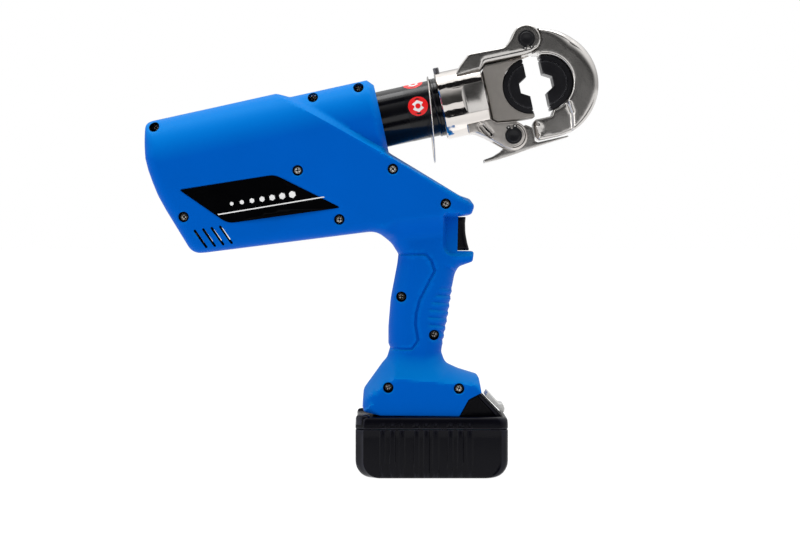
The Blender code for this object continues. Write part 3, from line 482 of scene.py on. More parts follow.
def lathe(name, profile, mat, body, nodes=(), matrix=BARREL, axis="u", at=(0, 0, 0), steps=96,
          ring=False, sharp=35.0):
    """A profile of (radius, height) turned about u, y or w through a point."""
    bm = bmesh.new()
    loops = []
    for r, h in profile:
        if r < 1e-6:
            loops.append([bm.verts.new(spun(0, h, 0, axis, at))])
            continue
        loops.append([bm.verts.new(spun(r, h, 2 * math.pi * i / steps, axis, at))
                      for i in range(steps)])
    pairs = list(zip(loops, loops[1:]))
    if ring:
        pairs.append((loops[-1], loops[0]))
    for a, b in pairs:
        band(bm, a, b)
    return finish_piece(name, bm, mat, body, nodes, matrix, sharp)


def spun(r, h, angle, axis, at):
    p, q = r * math.cos(angle), r * math.sin(angle)
    spot = {"u": (h, p, q), "y": (p, h, q), "w": (p, q, h)}[axis]
    return tuple(a + b for a, b in zip(spot, at))


# By default the faces this helper cuts are painted black, as the shade inside the cut.
def prism_draft(name, outline, low, high, matrix=BARREL, mat=HOLE_SHADE, axis="y"):
    """A helper for a Boolean: an outline drawn out along y or w. boolean() removes it."""
    bm = bmesh.new()
    order = {"y": lambda a, b, d: (a, d, b), "w": lambda a, b, d: (a, b, d)}[axis]
    ends = [[bm.verts.new(order(a, b, d)) for a, b in outline] for d in (low, high)]
    bm.faces.new(ends[0])
    bm.faces.new(ends[1])
    band(bm, *ends)
    return finish_piece(name, bm, mat, None, (), matrix)


# By default the faces this helper cuts are painted black, as the shade inside the cut.
def lathe_draft(name, profile, matrix=BARREL, axis="u", at=(0, 0, 0), steps=48, mat=HOLE_SHADE,
                ring=False):
    """A helper for a Boolean: a turned profile. boolean() removes it."""
    return lathe(name, profile, mat, None, (), matrix, axis, at, steps, ring)


def boolean(obj, others, operation="DIFFERENCE"):
    """Cuts or joins the helpers with the object in one exact Boolean, and removes them."""
    group = bpy.data.collections.new("helpers_" + obj.name)
    for other in others:
        group.objects.link(other)
    modifier = obj.modifiers.new("boolean", "BOOLEAN")
    modifier.operation = operation
    modifier.operand_type = "COLLECTION"
    modifier.collection = group
    modifier.solver = "EXACT"
    modifier.material_mode = "TRANSFER"
    bake(obj)
    for other in others:
        mesh = other.data
        bpy.data.objects.remove(other)
        bpy.data.meshes.remove(mesh)
    bpy.data.collections.remove(group)
    return obj


# ---- housing ----


def on_barrel(knots):
    """Knots given along and across the barrel, in the row frame."""
    return [(*bar(a, b), *more) for a, b, *more in knots]


# The outline of the housing, round from the top of its back: x, z, corner radius, edge rounding.
HOUSING = on_barrel([(-174.0, 36.4, 6, 4, 3), (-179.5, 8, 60, 9, 10), (-175.8, -22, 120, 9, 10),
                     (-160.3, -69.2, 11, 8, 8)])
HOUSING += [
    (-41.5, 184.8, 22, 8, 9), (-30.0, 175.5, 20, 11, 15), (-25.0, 167.2, 2, 14, 17),
    (-25.8, 160, 30, 15, 17), (-30.8, 134, 60, 15, 17), (-32.6, 112, 60, 15, 17),
    (-32.6, 99.5, 3, 15, 17), (-31.3, 96.5, 1, 15, 17), (-33.5, 89, 8, 15, 17),
    (-37.0, 85.0, 10, 14, 17), (-51.3, 65, 8, 12, 18), (-52.0, 52.3, 3, 11, 14),
    (-50.3, 48.6, 3, 8, 8), (-38, 46.4, 10, 1, 1), (20.6, 46.0, 0, 0.5, 0.5),
    (27.5, 58.6, 4, 0.5, 0.5), (37.3, 63.6, 0.8, 1, 1), (35.6, 75.2, 4, 8, 12),
    (20, 80.3, 12, 9, 14), (10.5, 85, 8, 13, 17), (7.6, 93, 6, 15, 17), (9.0, 102, 10, 15, 17),
    (12.4, 120, 60, 15, 17), (16.0, 143, 60, 15, 17), (17.8, 152, 15, 14, 17),
    (20.5, 157.5, 6, 8, 12), (31.2, 161.6, 2.5, 4, 5), (32.2, 169.4, 2, 2, 3),
    (19.6, 169.6, 0, 0.5, 0.5), (20.2, 195.6, 0, 0.5, 0.5), (29.8, 196.9, 3, 3, 4),
    (32.3, 203, 5, 5, 6), (29.2, 209, 4, 6, 7), (21, 211.2, 12, 5.5, 5),
]
HOUSING += on_barrel([(0.2, -25.6, 0.8, 4, 4), (0, 26.8, 0, 0.2, 0.1), (-4.5, 31.6, 0, 0.2, 0.1),
                      (-64.5, 31.6, 4, 0.2, 0.1), (-74.5, 36.4, 5, 0.2, 0.1)])
SCREWS = [(-208.4, 262.7), (-185.3, 195.0), (-89.3, 285.1), (-55.0, 292.5), (-99.8, 229.5),
          (-68.9, 193.1), (-29.0, 230.6), (10.4, 204.8), (-22.7, 135.0), (2.0, 106.1),
          (-32.5, 67.5), (20.4, 66.8)]
NAMEPLATE = [(-158.3, -20.6, 1, 0, 0), (-86.5, -24.9, 14, 0, 0), (-43.6, -59.4, 1, 0, 0),
             (-129.0, -52.6, 14, 0, 0)]
GRIP_LINE = [(-34, 167.2), (-4, 167), (0, 162), (2.5, 154.5), (-4, 142), (-9, 132), (-11.5, 122),
             (-12, 114), (-10, 102), (-14.5, 95.5), (-40, 95.5)]
RIBS = [(7.5, 141), (3.5, 136), (0.5, 130.6), (-1.5, 125), (-2.2, 119.2), (-1.6, 113.4),
        (4.0, 107.6), (6.0, 101.8)]
SLOPE = math.tan(math.radians(14))  # lean of the lower side panel
GROOVE_HALF, GROOVE_DEPTH = 1.25, 1.6
RIB_LEAN, RIB_DEPTH = 0.09, 1.7
PLATE_BED, SCREW_RIM = 0.5, 0.55


def ease(t):
    t = np.clip(t, 0, 1)
    return t * t * (3 - 2 * t)


def line_gap(x, z, line):
    """Distance of points from an open run of straight lines."""
    best = np.full(np.shape(x), 1e9)
    for (a, b), (c, d) in zip(line, line[1:]):
        run = max((c - a) ** 2 + (d - b) ** 2, 1e-9)
        t = np.clip(((x - a) * (c - a) + (z - b) * (d - b)) / run, 0, 1)
        best = np.minimum(best, np.hypot(x - a - t * (c - a), z - b - t * (d - b)))
    return best


def side_height(x, z):
    """Distance of the housing's side from the split plane, before its edges are rounded."""
    u = (x - BAR_X) * COS + (z - BAR_Z) * SIN
    w = -(x - BAR_X) * SIN + (z - BAR_Z) * COS
    # the barrel: round above its axis, upright below it, leaning in under the crease
    main = np.sqrt(np.maximum(R_BODY ** 2 - np.maximum(w, 0) ** 2, 0.04))
    below = -17.8 - 0.0632 * (u + 174) - w
    left = -0.659 * (u + 77) - 0.751 * (w + 25)
    main = main - SLOPE * np.maximum(np.minimum(below, left), 0)
    main = main - 10 * np.clip((x + 10) / 42, 0, 1) ** 2
    # the round front part, and the step between the two
    radius = R_FRONT - (R_FRONT - R_LIP) * np.clip((u + 4.5) / 4.5, 0, 1)
    front = np.sqrt(np.maximum(radius ** 2 - w ** 2, 0.04))
    step = np.clip((0.665 * (u + 32.9) + 0.747 * (w - 1.8) + 2) / 4, 0, 1)
    body = main * (1 - step) + front * step
    # the handle below the barrel, and the foot below the handle
    neck = 0.452 * (x + 27.7) - 0.892 * (z - 194.3)
    under = np.minimum(194.3 + 0.1195 * (x + 27.7) - z, neck)
    blend = ease(under / 19)
    upper = body + (HANDLE_HALF - body) * blend
    crease = np.minimum(70.5 - 0.083 * (x - 18.5), 74.3 + 0.69 * (x + 27.2))
    climb = np.clip(1 - (z - crease) / 19, 0, 1)
    lower = HANDLE_HALF + (FOOT_HALF - HANDLE_HALF) * climb ** 2
    height = np.where(z > 130, upper, lower)
    # the scoop behind the trigger
    scoop = np.minimum(np.minimum(x - 8.6, z - 165.3), 197.0 - z)
    corner = 8 - np.hypot(np.minimum(x - 16.6, 0), np.minimum(z - 173.3, 0))
    scoop = np.where((x < 16.6) & (z < 173.3), corner, scoop)
    dip = np.clip(scoop / 2.5, 0, 1)
    bed = 9.8 + 4.6 * ((197 - z) / 32) ** 2
    return np.where(dip > 0, height + (bed - height) * dip, height)


def skin(x, z):
    """The side with its moulded detail: grip groove, ribs, bed of the nameplate, screw rims."""
    height = side_height(x, z)
    groove = np.clip(1 - line_gap(x, z, GRIP_LINE) / GROOVE_HALF, 0, 1)
    height = height - GROOVE_DEPTH * ease(groove * 1.6)
    for left, level in RIBS:
        drop = z - (level - RIB_LEAN * (x - left))
        saw = np.clip(1 - np.abs(drop - 0.5) / 2.2, 0, 1) * np.where(drop > 0.5, 1.0, 0.75)
        height = height - RIB_DEPTH * ease(saw) * ease((x - left + 0.6) / 1.2) * (x > left - 1)
    bed = np.clip((plate_gap(x, z) + 1.0) / 0.8, 0, 1)
    height = height - PLATE_BED * bed
    for a, b in SCREWS:
        reach = np.hypot(x - a, z - b)
        height = height - SCREW_RIM * np.clip((4.9 - reach) / 0.8, 0, 1)
    return height


plate_outline = Outline(*rounded(on_barrel(NAMEPLATE), 0, 8))


def plate_gap(x, z):
    """Signed distance from the nameplate's outline, positive inside and -9 well away from it."""
    where = np.stack([np.ravel(x), np.ravel(z)], 1)
    gap = np.full(len(where), -9.0)
    low, high = plate_outline.points.min(0) - 3, plate_outline.points.max(0) + 3
    near = np.all((where > low) & (where < high), axis=1)
    distance, _ = plate_outline.distance(where[near])
    gap[near] = distance * np.where(plate_outline.inside(where[near]), 1.0, -1.0)
    return gap.reshape(np.shape(x))


def bumpy(points, edge):
    """Gives the handle's front its row of finger bumps."""
    moved = points.copy()
    for i, (x, z) in enumerate(points):
        if x > 6 and 96 < z < 145:
            fade = ease(np.array((z - 97) / 4)) * ease(np.array((144 - z) / 4))
            moved[i, 0] += 0.42 * fade * math.cos(2 * math.pi * (z - 104.5) / 5.7)
    return moved, edge


def along_line(line, step, offset):
    """Points beside a run of straight lines, at an offset to each side."""
    made = []
    for (a, b), (c, d) in zip(line, line[1:]):
        run = math.hypot(c - a, d - b)
        count = max(1, int(run / step))
        for k in range(count):
            t = k / count
            for side in (-offset, offset) if offset else (0,):
                made.append((a + (c - a) * t - side * (d - b) / run,
                             b + (d - b) * t + side * (c - a) / run))
    return made


housing_outline = Outline(*bumpy(*rounded(HOUSING, 1.5)))
rows = []
for shift in (-2.0, 2.0):
    step_line = [bar(u + 0.665 * (2 + shift), w + 0.747 * (2 + shift))
                 for u, w in ((-69.4, 31.0), (-6.0, -25.4))]
    rows.append(along_line(step_line, 1.3, 0))
rows.append(along_line([bar(-173, -17.9), bar(-87, -23.3)], 1.4, 0))
rows.append(along_line([bar(-77, -25), bar(-36, -61)], 1.4, 0))
for offset in (0.3, 0.8, 1.3):
    rows.append(along_line(GRIP_LINE, 1.0, offset))
rim = [tuple(p) for p in plate_outline.points]
for offset in (0.15, 1.05):
    rows.append(along_line(rim + rim[:1], 1.3, offset))
for left, level in RIBS:
    for drop in (-1.7, -0.6, 0.5, 1.6, 2.7):
        end = level + drop - RIB_LEAN * (17 - left)
        rows.append(along_line([(left, level + drop), (17, end)], 1.2, 0))
for a, b in SCREWS:
    for reach in (4.1, 4.5, 4.9):
        rows.append(around(a, b, reach, np.linspace(0, 2 * math.pi, 28, endpoint=False)))
for left, top, radius, low in ((8.6, 197, 8, 165.3), (11.1, 194.5, 5.5, 167.8)):
    corner = around(16.6, 173.3, radius, np.linspace(math.pi, 1.5 * math.pi, 9))
    rows.append(along_line([(left, top), (left, 173.3), *corner, (33, low)], 1.2, 0))
rows.append(along_line([(11.1, 194.5), (28, 194.5)], 1.2, 0))
flat, faces, rim_index = plane_mesh(housing_outline, 2.0, rows)
detail = skin(flat[:, 0], flat[:, 1])
shell_height = lifted(housing_outline, flat, detail, 0.5)
surface_tree = kdtree.KDTree(len(flat))
for i, p in enumerate(flat):
    surface_tree.insert((p[0], p[1], 0), i)
surface_tree.balance()


def on_side(x, z):
    """Height of the finished housing side at a point, from its nearest points."""
    found = surface_tree.find_n((x, z, 0), 3)
    weights = [1 / (gap + 0.05) for _, _, gap in found]
    return sum(shell_height[i] * k for (_, i, _), k in zip(found, weights)) / sum(weights)


screw_floor = []
for a, b in SCREWS:
    rim_levels = [on_side(x, z) for x, z in around(a, b, 5.2, range(6))]
    screw_floor.append(min(rim_levels) - 2.6)


def half_shell(name, side, node):
    bm = bmesh.new()
    top = [bm.verts.new((p[0], side * h, p[1])) for p, h in zip(flat, shell_height)]
    for f in faces:
        bm.faces.new([top[i] for i in (f if side < 0 else f[::-1])])
    low = [bm.verts.new((flat[i][0], side * SPLIT_GAP, flat[i][1])) for i in rim_index]
    band(bm, low, [top[i] for i in rim_index])
    bm.faces.new(low)
    obj = finish_piece(name, bm, BLUE, None)

    def pocket(tag, outline, depth, mat=BLACK):
        """A helper from just past the split plane to a depth on this side."""
        return prism_draft(tag, outline, *sorted((-side, side * depth)), WORLD, mat)

    profile = [(0, 8), (21.7, 8), (21.7, -7), (28.4, -7), (28.4, -75), (33.2, -75),
               (33.2, -167), (26, -172), (0, -172)]
    bays = lathe_draft("bays_" + name, profile, mat=BLACK)
    bay = [bar(-169.3, 5), bar(-168.3, -22), bar(-155, -61.5), (-50, 188.5), (-30, 198),
           (13, 202), bar(-12, -34), bar(-30, 5)]
    cuts = [pocket("b1", bay, 21.5)]
    grip = [(-29, 200), (-21, 168), (-21.8, 160), (-26.8, 134), (-28.6, 112), (-28.4, 98),
            (-30, 88), (-36, 80), (-47, 65), (-47, 52), (-38, 49.5), (19, 49.5), (24, 59),
            (32, 64.5), (31.5, 72.5), (12, 79), (4, 88), (3.6, 93), (5, 103), (8.5, 121),
            (11.8, 144), (5.5, 165), (5.5, 200)]
    cuts.append(pocket("b2", grip, 8.6))
    foot = [(-46, 50.4), (18, 50.4), (23, 60), (30, 65), (30, 69), (-26, 71), (-44, 61)]
    cuts.append(pocket("b3", foot, 20.5))
    boolean(bays, cuts, "UNION")
    boolean(bays, [lathe_draft(f"post{i}", rod(5.3, side * 0.8, side * 40), WORLD, "y", (x, 0, z),
                               16) for i, (x, z) in enumerate(SCREWS)])
    cuts = [bays]
    for low_x, high_x, wide, low_z, high_z in ((2, 26, 9.4, 169.9, 195.45),
                                               (-47, 45, 14.4, 44, 50),
                                               (-46.5, 46, 18.6, 49.3, 53.2)):
        cuts.append(pocket(f"way{low_z}", oblong(low_x, low_z, high_x, high_z), wide))
    for i, (x, z) in enumerate(SCREWS if side < 0 else ()):
        seat = screw_floor[i] - 2.4
        # The screw hole's wall and floor are painted black, as the shade deep in the hole.
        profile = [(0, 60), (3.95, 60), (3.95, seat), (1.9, seat), (1.9, -2), (0, -2)]
        cuts.append(lathe_draft(f"hole{i}", [(r, -h) for r, h in profile], WORLD, "y", (x, 0, z),
                                32))
    shift = 0 if side < 0 else -2.2
    for i in range(4):
        a = bar(-154.2 + shift + 6.4 * i, -52.5 - 0.35 * i)
        b = bar(-148.6 + shift + 6.4 * i, -66.5 - 0.35 * i)
        lean = Vector((b[0] - a[0], b[1] - a[1])).normalized()
        wide = Vector((-lean.y, lean.x)) * 0.95
        slot = [(a[0] - wide.x, a[1] - wide.y), (a[0] - lean.x * 0.9, a[1] - lean.y * 0.9),
                (a[0] + wide.x, a[1] + wide.y), (b[0] + wide.x, b[1] + wide.y),
                (b[0] + lean.x * 0.9, b[1] + lean.y * 0.9), (b[0] - wide.x, b[1] - wide.y)]
        # The vent slots' walls are painted black, as the shade inside them.
        cuts.append(pocket(f"vent{i}", slot, 45, HOLE_SHADE))
    boolean(obj, cuts)
    settle(obj, 32, "housing", node)


half_shell("housing_half_near", -1, "shell_right")
half_shell("housing_half_far", 1, "shell_left")


# ---- nameplates and their print ----


def patch(name, outline, rise, thick, side, mat, nodes=(), spacing=3.0):
    """A thin sheet laid over the housing's side."""
    shape = Outline(np.array(outline), np.zeros((len(outline), 2)))
    flat_points, faces_of, edge = plane_mesh(shape, spacing)
    bm = bmesh.new()
    heights = [side_height(p[0], p[1]) - PLATE_BED for p in flat_points]
    top, low = [[bm.verts.new((p[0], side * (h + level), p[1]))
                 for p, h in zip(flat_points, heights)] for level in (rise, rise - thick)]
    for f in faces_of:
        bm.faces.new([top[i] for i in f])
        bm.faces.new([low[i] for i in f[::-1]])
    band(bm, [low[i] for i in edge], [top[i] for i in edge])
    return finish_piece(name, bm, mat, "housing", nodes, WORLD, 30)


for word, side, node in (("near", -1, "nameplate_right"), ("far", 1, "nameplate_left")):
    patch("nameplate_" + word, plate_outline.points, 0.42, 0.5, side, PLATE, (node,))
    line = [bar(-134.6, -44.2), bar(-134.2, -45.1), bar(-53.4, -49.4), bar(-54.6, -48.5)]
    patch("plate_line_" + word, line[::-1], 0.5, 0.07, side, PRINT, spacing=6)
    for i in range(7):
        size = 1.5 + 0.2 * i
        cu, cw = -122.5 + 7.6 * i, -39.0 - 0.5 * i
        ring = [bar(cu + size * math.cos(math.radians(k)), cw + size * math.sin(math.radians(k)))
                for k in range(30, 390, 60)]
        patch(f"plate_hex_{word}_{i + 1}", ring, 0.5, 0.07, side, PRINT, spacing=6)


# ---- case screws ----
def screw_head(name, x, z, level, node):
    """A pan head with a cross recess, deep in its hole."""
    profile = [(0, level - 5), (1.5, level - 5), (1.5, level), (2.9, level), (2.95, level + 0.5),
               (2.75, level + 1.1), (2.3, level + 1.6), (1.6, level + 1.9), (0, level + 2.0)]
    obj = lathe(name, [(r, -h) for r, h in profile], NICKEL, None, (), WORLD, "y", (x, 0, z), 28)
    turn = (x * 7.3 + z * 3.1) % 1.57
    cuts = []
    for k in range(2):
        a = turn + k * math.pi / 2
        blade = oblong(1.75, 0.38, -1.75, -0.38)
        blade = [(x + p * math.cos(a) - q * math.sin(a), z + p * math.sin(a) + q * math.cos(a))
                 for p, q in blade]
        # The cross recess is painted black, as the shade in its slots.
        cuts.append(prism_draft(f"blade{k}", blade, -level - 4, -level - 0.8, WORLD, HOLE_SHADE))
    boolean(obj, cuts)
    settle(obj, 35, "housing", node)


for i, (x, z) in enumerate(SCREWS):
    screw_head(f"case_screw_head_{i + 1:02d}", x, z, screw_floor[i] - 0.9,
               f"case_screw_{i + 1:02d}")


# ---- barrel front ----
TUBE_R = 21.25
profile = [(17.0, -20), (TUBE_R, -20), (TUBE_R, 41.2), (22.0, 41.6), (22.2, 41.9), (22.2, 43.2),
           (21.9, 43.45), (21.9, 43.65), (22.2, 43.9), (22.2, 45.7), (21.9, 46.0), (17.0, 46.0)]
lathe("ram_cylinder", profile, PAINT, "housing", ("cylinder",), steps=128, ring=True)
lathe("clear_film", oblong(21.2, 20.4, 21.34, 40.6), FILM, "housing", steps=128, ring=True)


def disc_on_tube(name, cu, angle, radius, rise, mat, corners=40, turn=0.0):
    """A round or many-sided label wrapped on the tube, centred at an angle from -Y."""
    bm = bmesh.new()
    rims = []
    for lift in (rise, rise - 0.05):
        loops = []
        for ring in (0.0, 0.5, 1.0):
            loop = []
            for k in range(corners if ring else 1):
                t = 2 * math.pi * k / corners + turn
                du, ds = radius * ring * math.cos(t), radius * ring * math.sin(t)
                a = angle + ds / TUBE_R
                loop.append(bm.verts.new((cu + du, -(TUBE_R + lift) * math.cos(a),
                                          (TUBE_R + lift) * math.sin(a))))
            loops.append(loop)
        rims.append(loops[2])
        band(bm, loops[0], loops[1])
        band(bm, loops[1], loops[2])
    band(bm, *rims)
    return finish_piece(name, bm, mat, "housing", (), BARREL)


for i, angle in enumerate((8, 74)):
    for word, *look in (("disc", 7.5, 0.16, RED), ("hex", 4.6, 0.22, PRINT, 6, 0.5),
                        ("hole", 2.0, 0.28, RED, 24)):
        disc_on_tube(f"label_{word}_{i + 1}", 29.0, math.radians(angle), *look)

# The hang ring leans back from the top of the cylinder's end ring.
RING_R, TOP_U, TOP_W = 31.6, 41.0, 22.95
LEAN = math.radians(7.2)
hang = BARREL @ Matrix.Translation((TOP_U * MM, 0, TOP_W * MM))
hang = hang @ Matrix.Rotation(math.pi / 2 + LEAN, 4, "Y") @ Matrix.Translation((RING_R * MM, 0, 0))
section = [(RING_R + 1.6 * math.cos(t), 0.6 * math.sin(t)) for t in
           np.linspace(0, 2 * math.pi, 14, endpoint=False)]
lathe("hang_loop", section, CHROME, "hang_ring", ("hang_ring",), hang, "w", steps=96, ring=True,
      sharp=60)

# ---- head fork ----
COLLAR_R = 25.6
profile = [(0, 46.3), (24.7, 46.3), (25.6, 47.0), (COLLAR_R, 79.9), (25.0, 80.5), (0, 80.5)]
fork = lathe("fork_body", profile, CHROME, None, steps=128)
flats = []
for side in (-1, 1):
    slot = [(61.6, side * 27.0), (62.8, side * 25.2), (64.2, side * 24.0), (65.8, side * 23.4),
            (67.4, side * 23.2), (90, side * 23.2), (90, side * 40), (61.6, side * 40)]
    if side > 0:
        slot = slot[::-1]
    flats.append(prism_draft(f"flat{side}", slot, -40, 40, axis="w", mat=GROUND))
flats.append(lathe_draft("way", rod(9.1, 40, 90)))
flats.append(lathe_draft("set", rod(2.6, 20, 40), axis="w", at=(48.6, 0, 0), steps=24))
boolean(fork, flats)
settle(fork, 25, "head", "head_fork")


def pin_bore(u, w):
    """A helper that cuts the hole for a hinge pin, across the tool."""
    return lathe_draft("bore", rod(5.1, -30, 30), axis="y", at=(u, 0, w))



ARM = [(62, 19.6, 1, 0.6, 0.6), (62.5, 21.6, 2, 1.0, 1.0), (66.2, 26.0, 4, 1.4, 1.4),
       (74.5, 33.2, 5, 1.4, 1.4), (102.5, 32.2, 8, 1.4, 1.4), (108.6, 38.2, 7, 1.6, 1.6)]
ARM += arc(HINGE_U, HINGE_W, 11, 150, -48, 12, (0, 1.6, 1.8))
ARM += [(122.0, 24.0, 3, 4.0, 4.5), (116, 22.8, 1, 5.5, 6.0), (86, 22.9, 2, 5.5, 6.0),
        (80.8, 19.6, 1, 2.0, 2.5)]
arm = slab("fork_arm", ARM, 18, GROUND, None, step=0.8, spacing=1.6)
slot = arc(HINGE_U, HINGE_W, 13.2, 192, 128, 10) + [(140, 50), (140, 10), (104, 10), (104, 30)]
bore = pin_bore(HINGE_U, HINGE_W)
boolean(arm, [prism_draft("knuckle", slot, -10.2, 10.2, mat=CHROME), bore])
settle(arm, SLAB_SHARP, "head")

EAR = [(62, -25.0, 1, 0.8, 0.8), (62.5, -19.6, 0.5, 0.8, 0.8), (66, -18.2, 1, 0.8, 0.8),
       (79.6, -17.6, 1, 0.8, 0.8), (84.3, -21.9, 2, 0.8, 0.8), (98.5, -23.6, 4, 1.0, 1.0)]
EAR += arc(LATCH_U, LATCH_W, 10.8, 58, -110, 12, (0, 2.6, 2.6))
EAR += [(86.8, -41.6, 4, 1.6, 1.6), (75, -31, 8, 1.6, 1.6), (67.5, -25.6, 4, 1.6, 1.6)]
EAR_GROOVE = [(72.4, -21.8), (74.4, -26), (77.6, -30.2)]


def ear_shape(u, w, top):
    """A sunk oval groove in the ear's face and a step round its pin."""
    run = line_gap(u, w, EAR_GROOVE)
    top = top - 2.6 * ease(1.5 - run / 1.7)
    reach = np.hypot(u - LATCH_U, w - LATCH_W)
    return top - 0.5 * ease((reach - 7.9) / 0.5) * (u > LATCH_U - 2)


marks = [along_line(EAR_GROOVE, 0.8, k) for k in (0.5, 1.2, 1.9)]
marks += [around(LATCH_U, LATCH_W, r, np.linspace(-1.9, 1.9, 44)) for r in (7.8, 8.1, 8.4)]
ear = slab("fork_ear", EAR, 18, SATIN, None, step=1.2, spacing=2.0, shape=ear_shape,
           features=marks)
slot = [(81.8, -18), (81.8, -34), (66, -38), (66, -60), (120, -60), (120, -18)]
bore = pin_bore(LATCH_U, LATCH_W)
cuts = [prism_draft("latch_room", slot, -8.3, 8.3, mat=SATIN), bore]
oval = arc(73.4, -23.0, 1.5, 20, 200, 8) + arc(78.0, -29.6, 1.3, 200, 380, 8)
crescent = arc(LATCH_U, LATCH_W, 9.2, -105, 62, 20) + arc(LATCH_U, LATCH_W, 8.6, 62, -105, 20)
for side in (-1, 1):
    # The oval groove and the ring round the pin are painted black, as the shade inside them.
    cuts.append(prism_draft(f"oval{side}", oval, *sorted((side * 15.6, side * 20)), mat=HOLE_SHADE))
    cuts.append(prism_draft(f"ring{side}", crescent, *sorted((side * 16.4, side * 20)),
                            mat=HOLE_SHADE))
boolean(ear, cuts)
settle(ear, 50, "head")

profile = [(0, 22.5), (2.2, 22.5), (2.2, 29.2), (1.8, 29.6), (1.2, 29.6), (1.2, 28.2), (0, 28.2)]
lathe("fork_set_screw", profile, OXIDE, "head", ("set_screw",), axis="w", at=(48.6, 0, 0),
      steps=36)

# ---- dies, holder, jaw ----
DIE_R, MOVING_U, FIXED_U = 20.9, 115.3, 126.5
HEXES = [(0, 7.4), (6.3, 3.7), (6.3, -3.7), (0, -7.4)]


def die_shape(centre):
    def shape(u, w, top):
        reach = np.hypot(u - centre, w)
        return top + 1.0 * ease((16.9 - reach) / 0.6)
    return shape


def die_marks(centre, start, end):
    angles = np.radians(np.arange(start, end, 3.4))
    return [around(centre, 0, r, angles) for r in (15.9, 16.35, 16.8)]


DIE_EDGE = (0, 0.7, 0.7)
V_LINE = [(16.25, -13.2), (17.15, -13.2), (16.7, -10.9)]
for name, body, node, centre, turned, face, lean, inner, span in (
        ("moving_die", "ram", "die_moving", MOVING_U, (94.6, 265.4), 113.6, -1, 1, (97, 264)),
        ("fixed_die", "jaw", "die_fixed", FIXED_U, (-90, 90), FIXED_U, 1, -1, (-88, 88))):
    outline = arc(centre, 0, DIE_R, *turned, 44, DIE_EDGE)
    outline += [(face, -19.0 * inner, *DIE_EDGE), (face + 0.8 * lean, -18.3 * inner, *DIE_EDGE),
                (face, -17.6 * inner, *DIE_EDGE)]
    outline += [(face + lean * d, -w * inner, *DIE_EDGE) for d, w in HEXES]
    outline += [(face, 17.6 * inner, *DIE_EDGE), (face + 0.8 * lean, 18.3 * inner, *DIE_EDGE),
                (face, 19.0 * inner, *DIE_EDGE)]
    die = slab(name, outline, 11, OXIDE, None, step=1.0, spacing=1.7, shape=die_shape(centre),
               features=die_marks(centre, *span))
    boolean(die, [lathe_draft("v_line", V_LINE, axis="y", at=(centre, 0, 0), steps=96, mat=EDGE,
                              ring=True)])
    settle(die, SLAB_SHARP, body, node)

HOLDER = [(82.2, 19.0, 1, 1.1, 1.1), (84.9, 21.9, 1, 1.1, 1.1), (113.6, 21.9, 0.3, 1.1, 1.1)]
HOLDER += arc(MOVING_U, 0, DIE_R + 0.3, 95, 265, 44, (0, 0.7, 0.7))
HOLDER += [(113.4, -23.4, 0.3, 1.1, 1.1), (97, -22.7, 5, 1.1, 1.1), (84.8, -21.3, 1, 1.1, 1.1),
           (82.2, -18.6, 1, 1.1, 1.1)]
holder = slab("die_carrier", HOLDER, 16, BLASTED, None, step=1.2, spacing=2.4)
boolean(holder, [lathe_draft("socket", rod(9.15, 78, 90.8))])
settle(holder, 32, "ram", "die_holder")

JAW_U, JAW_W, JAW_R = 125.0, -1.0, 41.6
JAW = [(*p[:2], 0, 1.2, 1.2) for p in arc(HINGE_U, HINGE_W, 11, 250, 76, 16)]
for t in np.linspace(81, -69, 52):
    inward = np.interp(t, [-69, -45, -20, 0, 22, 45, 65, 81], [2.5, 4.5, 5.0, 5.5, 8, 9.5, 5, 2])
    a = math.radians(t)
    JAW.append((JAW_U + JAW_R * math.cos(a), JAW_W + JAW_R * math.sin(a), 0, inward,
                inward * 0.9))
JAW += [(130, -41.1, 2, 1.5, 1.5), (113.4, -41.3, 3, 2.5, 2.5), (111.2, -38.6, 2, 8, 5),
        (111.2, -28.4, 2, 8, 5), (113.6, -25.5, 2, 1.8, 1.8), (126.2, -25.5, 2, 1.6, 1.6),
        (128.6, -21.6, 0.5, 1.2, 1.2)]
JAW += [(*p[:2], 0, 2.2, 1.6) for p in arc(FIXED_U, 0, DIE_R + 0.3, -82, 88, 44)]
JAW += [(126.6, 22.6, 0.3, 1.0, 1.0)]
STEP_LINE = [(141.8, -12), (143.4, -20), (144.0, -27), (142.0, -37)]


def jaw_shape(u, w, top):
    """The thin knuckle between the fork's cheeks, and the step down to the jaw's tip."""
    reach = np.hypot(u - HINGE_U, w - HINGE_W)
    top = np.where(reach < 11.9, 9.9, top)
    line = np.interp(w, [-42, -37, -27, -20, -12], [141.5, 142.4, 144.0, 143.2, 140.0])
    step = ease((line - u) / 5.0) * ease((-9 - w) / 8)
    return top - 3.4 * step


marks = [around(HINGE_U, HINGE_W, r, np.linspace(0, 2 * math.pi, 64, endpoint=False))
         for r in (11.78, 12.02)]
for k in (-0.4, 0.6, 1.6, 2.6, 3.6, 4.6):
    marks.append([(u - k, w) for u, w in along_line(STEP_LINE, 1.0, 0)])
jaw = slab("jaw_body", JAW, 17, GROUND, None, step=0.9, spacing=1.7, shape=jaw_shape,
           features=marks)
boolean(jaw, [pin_bore(HINGE_U, HINGE_W)])
settle(jaw, SLAB_SHARP, "jaw", "jaw")


